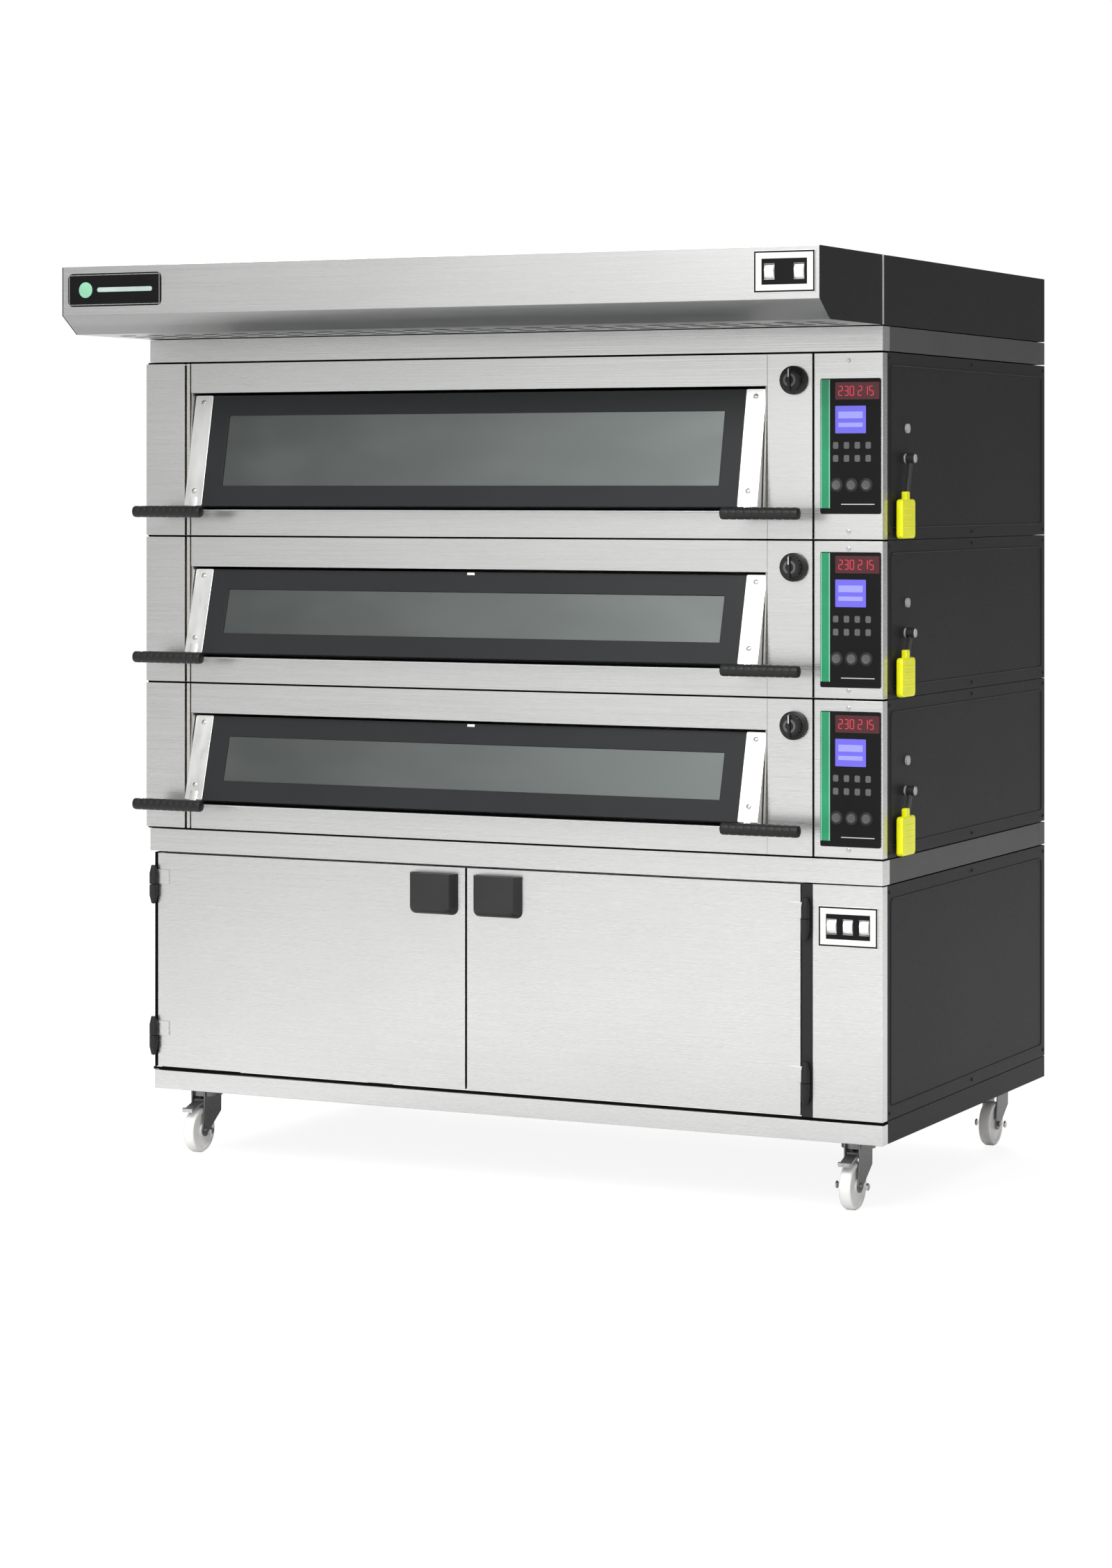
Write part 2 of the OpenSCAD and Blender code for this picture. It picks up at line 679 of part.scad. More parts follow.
// Dark cheeks, sides, back and top sheets of the hood
module hood_covers() {
    y0 = y_front + seam;
    x0 = x_left + sheet + seam;
    x1 = x_right - sheet - seam;
    hole = flue_r + 4;
    color([0.2, 0.2, 0.21]) {
        for (x = [x_left, x_right - sheet]) {
            side_plate(x, x + sheet, [[y_front - seam, z_hood], [chamfer_y, z_hood], [y_hood, chamfer_z],
                [y_hood, z_top], [y_front - seam, z_top]]);
            block([x, y0, z_hood], [x + sheet, y_back, z_top]);
        }
        block([x0, y_back - sheet, z_hood], [x1, y_back, z_top]);
        block([x0, y0, z_top - sheet], [x1, flue_y - hole - seam, z_top]);
        block([x0, flue_y + hole + seam, z_top - sheet], [x1, y_back - sheet - seam, z_top]);
        block([x0, flue_y - hole, z_top - sheet], [-hole, flue_y + hole, z_top]);
        block([hole, flue_y - hole, z_top - sheet], [x1, flue_y + hole, z_top]);
    }
}

// Fan housing and flue spigot
module hood_fan() {
    tube_z0 = z_top - 30;
    color("silver") {
        difference() {
            block([-fan_size / 2, flue_y - fan_size / 2, z_hood + 10],
                [fan_size / 2, flue_y + fan_size / 2, tube_z0 - seam]);
            block([-fan_size / 2 + 2, flue_y - fan_size / 2 - 1, z_hood + 12],
                [fan_size / 2 - 2, flue_y + fan_size / 2 - 2, tube_z0 - seam - 2]);
            translate([0, flue_y, tube_z0 - 10]) cylinder(r = flue_r - flue_wall, h = 20);
        }
        difference() {
            union() {
                translate([0, flue_y, tube_z0]) cylinder(r = flue_r, h = z_top + flue_h - tube_z0);
                block([-flue_flange / 2, flue_y - flue_flange / 2, z_top],
                    [flue_flange / 2, flue_y + flue_flange / 2, z_top + sheet]);
            }
            translate([0, flue_y, tube_z0 - 1]) cylinder(r = flue_r - flue_wall, h = z_top + flue_h);
        }
    }
}

// Lever pins and caps on the side, column screws, cable gland and water inlet
gland_x = x_right - 120;
inlet_x = x_right - 220;
service_z = z_base_band + band_h / 2;
service_reach = 20;
cap_rise = 63;
cap_back = 7;
module fittings() {
    color("silver") {
        for (i = [0 : 2]) {
            y = y_front + lever_y;
            rod_x(x_right, x_right + 6, y + cap_back, lever_z(i) + cap_rise, lever_boss_r);
            rod_x(x_right, lever_x0 - 1, y, lever_z(i), lever_boss_r);
            rod_x(x_right, lever_end + eps, y, lever_z(i), lever_pin_r);
            rod_x(lever_end, lever_end + 2.5, y, lever_z(i), lever_pin_r + 3);
            for (z = [deck_z(i) + 18, deck_z(i) + deck_h(i) - 18])
                rod_y_axis(y_front - 2.5, y_front, column_x0 + column_w / 2, z, 4.5);
        }
        difference() {
            rod_y_axis(y_back, y_back + service_reach, gland_x, service_z, gland_r + 5);
            rod_y_axis(y_back - 1, y_back + service_reach + 1, gland_x, service_z, gland_r);
        }
        difference() {
            rod_y_axis(y_back, y_back + service_reach, inlet_x, service_z, inlet_r);
            rod_y_axis(y_back - 1, y_back + service_reach + 1, inlet_x, service_z, inlet_r - 3);
        }
    }
}

// Places a child, drawn in the door's own frame, in oven door i
module in_door(i) { translate([0, pivot_y, pivot_z(i)]) rotate([-door_angle(i), 0, 0]) children(); }
lip_t = 3;
spacer_t = 12;
frame_x0 = door_x0 + bracket_w;
frame_x1 = door_x1 - bracket_w;
function slab_z0(i) = pivot_drop - door_len(i);

// Dark frame of oven door i, with a rebate for the panes
module door_frame(i) {
    c = seam / 2;
    color([0.17, 0.18, 0.18]) in_door(i) difference() {
        block([frame_x0, -door_t / 2, slab_z0(i)], [frame_x1, door_t / 2, pivot_drop]);
        block([frame_x0 + border_w, -door_t, slab_z0(i) + border_w],
            [frame_x1 - border_w, door_t, pivot_drop - border_w]);
        block([frame_x0 + border_w - pane_lap - c, -door_t / 2 + lip_t - c, slab_z0(i) + border_w - pane_lap - c],
            [frame_x1 - border_w + pane_lap + c, door_t, pivot_drop - border_w + pane_lap + c]);
    }
}
// Outer and inner panes of oven door i
module door_glass(i) {
    color([0.5, 0.6, 0.57, 0.5]) in_door(i)
        for (y = [-door_t / 2 + lip_t, -door_t / 2 + lip_t + pane_t + spacer_t])
            block([frame_x0 + border_w - pane_lap, y, slab_z0(i) + border_w - pane_lap],
                [frame_x1 - border_w + pane_lap, y + pane_t, pivot_drop - border_w + pane_lap]);
}
// End brackets with pivot pins, arms and grips of oven door i
arm_w = 16;
strap_t = 4;
strap_rise = 20;
module door_handles(i) {
    pin_reach = door_side_gap + pivot_plate;
    grip_z = slab_z0(i) - grip_drop;
    grip_y = -door_t / 2 - grip_reach;
    strap_y = -door_t / 2 - strap_t;
    color("silver") in_door(i) {
        for (x = [door_x0, door_x1 - bracket_w])
            block([x, -door_t / 2, slab_z0(i)], [x + bracket_w, door_t / 2, pivot_drop]);
        rod_x(door_x0 - pin_reach, door_x0 + eps, 0, 0, pivot_r);
        rod_x(door_x1 - eps, door_x1 + pin_reach, 0, 0, pivot_r);
        for (x = [door_x0 + bracket_w / 2, door_x1 - bracket_w / 2]) {
            block([x - arm_w / 2, grip_y, grip_z - 4], [x + arm_w / 2, strap_y + eps, grip_z + 4]);
            block([x - arm_w / 2, strap_y, grip_z - 4], [x + arm_w / 2, -door_t / 2 + eps, slab_z0(i) + strap_rise]);
            for (z = [slab_z0(i) + strap_rise + 14, pivot_drop - 16])
                rod_y_axis(-door_t / 2 - 2, -door_t / 2 + eps, x, z, 4.5);
        }
    }
    color([0.08, 0.08, 0.08]) in_door(i) {
        rod_x(grip_inner_x0 - grip_len, grip_inner_x0, grip_y, grip_z, grip_r);
        rod_x(grip_inner_x1, grip_inner_x1 + grip_len, grip_y, grip_z, grip_r);
    }
}
grip_inner_x0 = door_x0 + bracket_w + 22;
grip_inner_x1 = door_x1 - bracket_w - 22;

// Damper knob i on its spindle, with a retaining collar
module damper_knob(i) {
    z = knob_z(i);
    color([0.12, 0.12, 0.12]) {
        rod_y_axis(y_front - 3 - knob_depth, y_front - 3, knob_x, z, knob_r);
        block([knob_x - 4, y_front - knob_depth - 9, z - knob_r + 4],
            [knob_x + 4, y_front - knob_depth - 3 + eps, z + knob_r - 4]);
        rod_y_axis(y_front - 3 - eps, y_front + 30, knob_x, z, spindle_r);
        rod_y_axis(y_front + 3, y_front + 10, knob_x, z, spindle_r + 5);
    }
}

// Round key k of deck i
module round_key(i, k) {
    y = y_front - panel_t - key_proud;
    color("gray") rod_y_axis(y, y + key_len, key_x(k), key_z(i), key_r);
}

// Steam lever i, hanging from its pin
module steam_lever(i) {
    y = y_front + lever_y;
    z = lever_z(i);
    foot = deck_z(i) + lever_foot;
    grip_y = y - lever_crank;
    color("yellow") difference() {
        union() {
            rod_x(lever_x0, lever_x0 + lever_t, y, z, lever_pin_r + 5);
            side_plate(lever_x0 + 4, lever_x0 + lever_t - 4, [[y - 6, z], [y + 6, z], [grip_y + 12, foot + 60],
                [grip_y + 12, foot + 10], [grip_y - 12, foot + 10], [grip_y - 12, foot + 100]]);
            block([lever_x0, grip_y - lever_grip_w / 2, foot],
                [lever_x0 + lever_t, grip_y + lever_grip_w / 2, foot + lever_grip_h]);
        }
        rod_x(lever_x0 - 1, lever_x0 + lever_t + 1, y, z, lever_pin_r + run);
    }
}

// Double-skinned prover door: an outer pan and an inner skin, with hinge knuckles
module prover_door(side) {
    x0 = side < 0 ? prover_door_x0 : prover_mid + prover_gap / 2;
    x1 = side < 0 ? prover_mid - prover_gap / 2 : prover_door_x1;
    hx = side < 0 ? left_hinge_x : right_hinge_x;
    edge = side < 0 ? x0 : x1;
    y1 = y_front + prover_door_t;
    color("gainsboro") {
        difference() {
            block([x0, y_front, door_z0], [x1, y1, door_z1]);
            block([x0 + sheet, y_front + sheet, door_z0 + sheet], [x1 - sheet, y1 + 1, door_z1 - sheet]);
        }
        block([x0 + sheet + seam, y1 - sheet, door_z0 + sheet + seam],
            [x1 - sheet - seam, y1, door_z1 - sheet - seam]);
        for (z = hinge_zs) difference() {
            union() {
                translate([hx, hinge_y, z + 0.5]) cylinder(r = knuckle_r, h = hinge_h / 2 - 0.5);
                block([min(hx, edge - side * 30), y_front - 3, z + 0.5],
                    [max(hx, edge - side * 30), y_front, z + hinge_h / 2]);
            }
            translate([hx, hinge_y, z]) cylinder(r = hinge_pin_r + run, h = hinge_h);
        }
    }
}

// Cup handle on a prover door, open at the top
cup_corner = 14;
module prover_cup(side) {
    x0 = side < 0 ? prover_mid - prover_gap / 2 - cup_edge - cup_w : prover_mid + prover_gap / 2 + cup_edge;
    color([0.1, 0.1, 0.1]) translate([x0, y_front, cup_z1 - cup_h]) rotate([90, 0, 0]) difference() {
        linear_extrude(cup_depth) cup_outline(0);
        translate([0, 0, -1]) linear_extrude(cup_depth + 1 - cup_wall) cup_outline(cup_wall);
    }
}
// The cup's outline with its lower corners rounded, drawn in by t and open at the top when t > 0
module cup_outline(t) {
    r = cup_corner - t;
    translate([cup_corner, cup_corner]) circle(r);
    translate([cup_w - cup_corner, cup_corner]) circle(r);
    translate([cup_corner, t]) square([cup_w - 2 * cup_corner, cup_corner]);
    translate([t, cup_corner]) square([cup_w - 2 * t, cup_h - cup_corner + (t > 0 ? 1 : 0)]);
}

// Caster fork with its axle and, in front, the brake pedal's pin
module caster_fork(x, y, braked) {
    color("darkgray") translate([x, y, 0]) {
        difference() {
            translate([0, 0, head_z0]) cylinder(r = head_r, h = head_z1 - head_z0);
            translate([0, 0, head_z0 - 1]) cylinder(r = king_r + run, h = head_z1);
            translate([0, 0, head_z0 - 1]) cylinder(r = king_r + 6, h = 1 + 4);
        }
        for (x0 = [-fork_gap / 2 - fork_t, fork_gap / 2])
            translate([x0, 0, 0]) rotate([90, 0, 90]) linear_extrude(fork_t) fork_leg();
        rod_x(-fork_gap / 2 - fork_t - 4, fork_gap / 2 + fork_t + 4, -trail, wheel_r, axle_r);
        if (braked) rod_x(-fork_gap / 2 - eps, fork_gap / 2 + eps, -pedal_y, pedal_z, pedal_pin_r);
    }
}
module fork_leg() {
    polygon([[-pedal_y - 9, head_z1 - 6], [-pedal_y - 9, pedal_z - 8], [-trail - 13, wheel_r],
        [-trail + 13, wheel_r - 4], [head_r - 3, wheel_r * 2 - 14], [head_r - 2, head_z1 - 6]]);
    translate([-trail, wheel_r]) circle(r = 13.6);
}
// Wheel with a crowned tread and a raised hub
module caster_wheel(x, y) {
    h = wheel_w / 2;
    color("whitesmoke") translate([x, y - trail, wheel_r]) rotate([0, 90, 0]) difference() {
        union() {
            rotate_extrude($fn = 64) polygon([[0, -h + 3], [wheel_r - 12, -h + 3], [wheel_r - 10, -h],
                [wheel_r - 3, -h], [wheel_r, -h + 5], [wheel_r, h - 5], [wheel_r - 3, h],
                [wheel_r - 10, h], [wheel_r - 12, h - 3], [0, h - 3]]);
            translate([0, 0, -h - 1]) cylinder(r = 14, h = wheel_w + 2);
        }
        translate([0, 0, -wheel_w]) cylinder(r = axle_r + run, h = 2 * wheel_w);
    }
}
// Brake pedal on its pin
pedal_len = 58;
module brake_pedal(x, y) {
    w = fork_gap - 4;
    color("darkgray") translate([x, y - pedal_y, pedal_z]) rotate([pedal_slope, 0, 0]) difference() {
        union() {
            rod_x(-w / 2, w / 2, 0, 0, pedal_pin_r + 3);
            block([-w / 2, -pedal_len, 0], [w / 2, 0, 4]);
            block([-w / 2, -pedal_len, 0], [w / 2, -pedal_len + 6, 9]);
        }
        rod_x(-w, w, 0, 0, pedal_pin_r + run);
    }
}

base_frame();
prover_cabinet();
prover_racks();
prover_hinges();
cabinet_bands();
deck_fronts();
outer_covers();
front_plates();
baking_chambers();
hearth_stones();
heating_elements();
steam_boxes();
insulation();
hood_canopy();
hood_covers();
hood_fan();
fittings();
door_frame(0);  // lower_door_frame
door_frame(1);  // middle_door_frame
door_frame(2);  // upper_door_frame
door_glass(0);  // lower_door_glass
door_glass(1);  // middle_door_glass
door_glass(2);  // upper_door_glass
door_handles(0);  // lower_door_handles
door_handles(1);  // middle_door_handles
door_handles(2);  // upper_door_handles
damper_knob(0);  // lower_damper_knob
damper_knob(1);  // middle_damper_knob
damper_knob(2);  // upper_damper_knob
round_key(0, 0);  // lower_key_left
round_key(0, 1);  // lower_key_middle
round_key(0, 2);  // lower_key_right
round_key(1, 0);  // middle_key_left
round_key(1, 1);  // middle_key_middle
round_key(1, 2);  // middle_key_right
round_key(2, 0);  // upper_key_left
round_key(2, 1);  // upper_key_middle
round_key(2, 2);  // upper_key_right
steam_lever(0);  // lower_steam_lever
steam_lever(1);  // middle_steam_lever
steam_lever(2);  // upper_steam_lever
prover_door(-1);  // prover_door_left
prover_door(1);  // prover_door_right
prover_cup(-1);  // prover_cup_left
prover_cup(1);  // prover_cup_right
rocker(plate_x - rocker_pitch, y_front, prover_plate_z);  // prover_rocker_left
rocker(plate_x, y_front, prover_plate_z);  // prover_rocker_middle
rocker(plate_x + rocker_pitch, y_front, prover_plate_z);  // prover_rocker_right
rocker(plate_x - hood_rocker_pitch / 2, y_hood, hood_plate_z);  // hood_rocker_left
rocker(plate_x + hood_rocker_pitch / 2, y_hood, hood_plate_z);  // hood_rocker_right
caster_fork(caster_x(-1), front_caster_y, true);  // caster_fork_front_left
caster_fork(caster_x(1), front_caster_y, true);  // caster_fork_front_right
caster_fork(caster_x(-1), back_caster_y, false);  // caster_fork_back_left
caster_fork(caster_x(1), back_caster_y, false);  // caster_fork_back_right
caster_wheel(caster_x(-1), front_caster_y);  // caster_wheel_front_left
caster_wheel(caster_x(1), front_caster_y);  // caster_wheel_front_right
caster_wheel(caster_x(-1), back_caster_y);  // caster_wheel_back_left
caster_wheel(caster_x(1), back_caster_y);  // caster_wheel_back_right
brake_pedal(caster_x(-1), front_caster_y);  // brake_pedal_left
brake_pedal(caster_x(1), front_caster_y);  // brake_pedal_right
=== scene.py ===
"""Finishes a three-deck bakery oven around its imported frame: sheet metal, doors, controls, hood and casters."""

import json
import math

import bmesh
import bpy
from bpy.props import FloatProperty, FloatVectorProperty, IntProperty, PointerProperty
from mathutils import Matrix, Vector

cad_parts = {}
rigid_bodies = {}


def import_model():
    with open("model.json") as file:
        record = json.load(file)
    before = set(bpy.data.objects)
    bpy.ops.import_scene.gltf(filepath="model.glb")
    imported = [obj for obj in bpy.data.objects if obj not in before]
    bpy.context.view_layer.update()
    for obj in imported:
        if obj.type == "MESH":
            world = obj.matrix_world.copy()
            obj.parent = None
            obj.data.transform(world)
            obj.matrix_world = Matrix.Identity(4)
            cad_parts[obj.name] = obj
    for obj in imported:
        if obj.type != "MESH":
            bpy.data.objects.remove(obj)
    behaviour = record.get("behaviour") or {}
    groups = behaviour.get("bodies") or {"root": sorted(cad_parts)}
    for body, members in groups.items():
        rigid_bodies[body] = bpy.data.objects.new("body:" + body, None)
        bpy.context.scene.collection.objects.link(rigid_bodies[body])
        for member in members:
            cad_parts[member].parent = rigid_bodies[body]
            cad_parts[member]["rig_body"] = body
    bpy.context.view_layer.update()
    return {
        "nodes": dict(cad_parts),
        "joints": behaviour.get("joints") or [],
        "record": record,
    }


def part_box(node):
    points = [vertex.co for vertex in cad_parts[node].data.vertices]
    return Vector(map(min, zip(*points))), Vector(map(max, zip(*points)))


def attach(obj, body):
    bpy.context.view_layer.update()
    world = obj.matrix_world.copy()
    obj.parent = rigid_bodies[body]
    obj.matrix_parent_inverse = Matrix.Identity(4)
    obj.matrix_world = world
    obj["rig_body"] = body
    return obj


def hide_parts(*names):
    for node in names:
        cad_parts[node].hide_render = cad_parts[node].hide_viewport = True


bl_info = {
    "name": "Bakery Deck Oven",
    "version": (1, 0, 0),
    "blender": (4, 5, 0),
    "location": "View3D > Sidebar > Deck Oven",
    "description": "Builds the visible pieces of a deck oven around its frame",
    "category": "Object",
}

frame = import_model()
MM = 0.001
DECKS = ("lower", "middle", "upper")
SIDES = ("left", "right")
KEYS = ("left", "middle", "right")
ROCKERS = {"prover": [f"prover_rocker_{key}" for key in KEYS], "hood": [f"hood_rocker_{side}" for side in SIDES]}
JOINTS = {joint["name"]: joint for joint in frame["joints"]}
WELD_DISTANCE = 0.002 * MM
SHARP_ANGLE = math.radians(35)
FLAT_ANGLE = math.radians(1)
AXIS_TO = {"x": Matrix.Rotation(math.radians(90), 4, "Y"),
           "y": Matrix.Rotation(math.radians(90), 4, "X"),
           "z": Matrix.Identity(4)}


# ---------------------------------------------------------------- settings

def length(name, description, default, low, high):
    """A length setting, given in millimetres."""
    return FloatProperty(name=name, description=description, default=default * MM, min=low * MM,
                         max=high * MM, unit="LENGTH")


def colour(name, description, default):
    """A colour setting."""
    return FloatVectorProperty(name=name, description=description, default=default, size=3,
                               subtype="COLOR", min=0, max=1)


class OvenSizes(bpy.types.PropertyGroup):
    """Sizes of the small details that the frame leaves open"""
    fold_radius: length("Fold radius", "Rounding of folded sheet edges", 0.6, 0.1, 2)
    screw_radius: length("Screw radius", "Radius of the pan-head screws", 4.5, 2, 8)
    screw_height: length("Screw height", "Height of the pan-head screws", 2.4, 1, 5)
    bead_radius: length("Bead radius", "Radius of the pressed bead around the covers", 1.6, 0.5, 4)
    louvre_count: IntProperty(name="Louvres", description="Louvres in each row on the back covers",
                              default=12, min=2, max=30)


class OvenColours(bpy.types.PropertyGroup):
    """Colours of the finishes"""
    stainless: colour("Stainless steel", "Colour of the brushed fronts", (0.66, 0.66, 0.655))
    anthracite: colour("Anthracite", "Colour of the coated side covers", (0.016, 0.016, 0.018))
    door_border: colour("Door border", "Colour of the dark frame around the glass", (0.022, 0.023, 0.024))
    glass: colour("Glass", "Tint of the heat-reflecting glass", (0.150, 0.166, 0.160))
    stripe: colour("Stripe", "Colour of the stripe on the control units", (0.008, 0.24, 0.105))
    lever: colour("Steam lever", "Colour of the steam levers' grips", (0.96, 0.98, 0.004))
    light_display: colour("Light display", "Glow of the lower display", (0.17, 0.145, 0.86))
    red_display: colour("Red display", "Glow of the digits", (0.62, 0.035, 0.075))


# ---------------------------------------------------------------- nodes and finishes

def add_node(tree, kind, settings=None, **inputs):
    """A new node. Each input is set, or linked if it is given an output; _ in its name stands for a space."""
    made = tree.nodes.new(kind)
    for name, value in (settings or {}).items():
        setattr(made, name, value)
    for name, value in inputs.items():
        feed(tree, made.inputs[name.replace("_", " ")], value)
    return made


def feed(tree, socket, value):
    """Links an output to a socket, or sets the socket."""
    if isinstance(value, bpy.types.NodeSocket):
        tree.links.new(value, socket)
    else:
        socket.default_value = value


def math_node(tree, operation, first, second):
    """The result of an operation on two values."""
    made = add_node(tree, "ShaderNodeMath", {"operation": operation})
    feed(tree, made.inputs[0], first)
    feed(tree, made.inputs[1], second)
    return made.outputs["Value"]


def shader_material(name, tint, roughness, metallic=0.0, **sockets):
    """A material with a Principled shader, its node tree and the shader."""
    material = bpy.data.materials.new(name)
    material.use_nodes = True
    material.diffuse_color = (*tint, 1)
    tree = material.node_tree
    shader = tree.nodes["Principled BSDF"]
    sockets.update(Base_Color=(*tint, 1), Roughness=roughness)
    sockets.setdefault("Metallic", metallic)
    for socket, value in sockets.items():
        feed(tree, shader.inputs[socket.replace("_", " ")], value)
    return material, tree, shader


def object_coords(tree):
    """The coordinates that every pattern is laid out on."""
    return add_node(tree, "ShaderNodeTexCoord").outputs["Object"]


def stretched_noise(tree, stretch, scale, detail=3.0):
    """A noise on Object coordinates, drawn out by stretch."""
    mapping = add_node(tree, "ShaderNodeMapping", Vector=object_coords(tree), Scale=stretch)
    return add_node(tree, "ShaderNodeTexNoise", Vector=mapping.outputs["Vector"], Scale=scale,
                Detail=detail).outputs["Fac"]


def mapped(tree, value, low, high, from_low=0.3, from_high=0.7):
    """value, spread from low to high."""
    return add_node(tree, "ShaderNodeMapRange", Value=value, From_Min=from_low, From_Max=from_high,
                To_Min=low, To_Max=high).outputs["Result"]


def vary_colour(tree, shader, factor, first, second, socket="Base Color"):
    """Lets a colour of the shader go from first to second as factor goes from 0 to 1."""
    tone = add_node(tree, "ShaderNodeMix", {"data_type": "RGBA"}, A=(*first, 1), B=(*second, 1), Factor=factor)
    feed(tree, shader.inputs[socket], tone.outputs["Result"])


def vary_roughness(tree, shader, factor, low, high):
    """Lets the shader's roughness follow factor from low to high."""
    feed(tree, shader.inputs["Roughness"], mapped(tree, factor, low, high))


def add_bump(tree, shader, height, strength, distance):
    """Gives the shader a bump from height."""
    bump = add_node(tree, "ShaderNodeBump", Strength=strength, Distance=distance, Height=height)
    feed(tree, shader.inputs["Normal"], bump.outputs["Normal"])


def tinted(tint, factor):
    """A lighter or darker shade of tint."""
    return tuple(min(1.0, channel * factor) for channel in tint)


def surfaced(name, tint, roughness, fine, clouds, tones, rise, bump, **sockets):
    """A material with two noises, each given as stretch, scale and detail. The fine one moves its roughness
    by the two steps in rise and makes the bump; the cloudy one moves its colour between two shares of tint."""
    material, tree, shader = shader_material(name, tint, roughness, **sockets)
    fine, clouds = stretched_noise(tree, *fine), stretched_noise(tree, *clouds)
    vary_colour(tree, shader, mapped(tree, clouds, 0, 1), tinted(tint, tones[0]), tinted(tint, tones[1]))
    vary_roughness(tree, shader, fine, roughness + rise[0], roughness + rise[1])
    add_bump(tree, shader, fine, *bump)
    return material


def brushed_steel(name, tint, roughness, grain=(3, 700, 900)):
    """Steel brushed along X, with faint cloudy wear."""
    return surfaced(name, tint, roughness, (grain, 1.0, 4), ((1, 1, 1.6), 3.2, 4), (0.985, 1.015),
                    (-0.05, 0.07), (0.04, 0.04 * MM), metallic=1.0)


def powder_coat(name, tint, roughness=0.5, peel=0.35):
    """Powder coat with a fine orange peel."""
    return surfaced(name, tint, roughness, ((1, 1, 1), 650, 2), ((1, 1, 1), 2.4, 5), (0.92, 1.1),
                    (-0.06, 0.08), (peel, 0.05 * MM), Specular_IOR_Level=0.15)


def moulded(name, tint, roughness=0.45, grain=900, strength=0.25, **sockets):
    """Moulded plastic or rubber with an eroded grain."""
    return surfaced(name, tint, roughness, ((1, 1, 1), grain, 2), ((1, 1, 1), 14, 3), (0.9, 1.12),
                    (-0.05, 0.07), (strength, 0.04 * MM), **sockets)


def zinc(name, tint, low):
    """Zinc-plated steel with a faint spangle, down to the grey low."""
    material, tree, shader = shader_material(name, tint, 0.42, metallic=0.9)
    cells = add_node(tree, "ShaderNodeTexVoronoi", Vector=object_coords(tree), Scale=160).outputs["Distance"]
    vary_colour(tree, shader, mapped(tree, cells, 0, 1, 0.0, 0.8), (low, low, low * 1.04), tint)
    feed(tree, shader.inputs["Roughness"], mapped(tree, cells, 0.34, 0.5, 0, 0.8))
    add_bump(tree, shader, stretched_noise(tree, (1, 1, 1), 300), 0.15, 0.05 * MM)
    return material


def reflecting_glass(name, tint):
    """Heat-reflecting glass: tinted, half mirrored, and faintly see-through."""
    material, tree, shader = shader_material(name, tint, 0.07, metallic=0.75, Alpha=0.9)
    smears = stretched_noise(tree, (1, 1, 2.5), 5, 5)
    vary_roughness(tree, shader, smears, 0.10, 0.20)
    vary_colour(tree, shader, mapped(tree, smears, 0, 1), tinted(tint, 0.96), tinted(tint, 1.04))
    return material


def hearth_stone(name, tint):
    """Pressed refractory stone with speckles and pits."""
    material, tree, shader = shader_material(name, tint, 0.9)
    speckle, clouds = stretched_noise(tree, (1, 1, 1), 260, 6), stretched_noise(tree, (1, 1, 1), 5, 4)
    vary_colour(tree, shader, mapped(tree, clouds, 0, 1), (0.30, 0.24, 0.17), (0.47, 0.40, 0.31))
    vary_roughness(tree, shader, speckle, 0.8, 0.98)
    add_bump(tree, shader, speckle, 0.6, 0.4 * MM)
    return material


def glowing(name, tint, strength):
    """A lit display window with a faint grain."""
    material, tree, shader = shader_material(name, tinted(tint, 0.4), 0.3, Emission_Strength=strength)
    grain = mapped(tree, stretched_noise(tree, (1, 1, 1), 900, 1), 0, 1)
    vary_colour(tree, shader, grain, tinted(tint, 0.85), tint, socket="Emission Color")
    return material


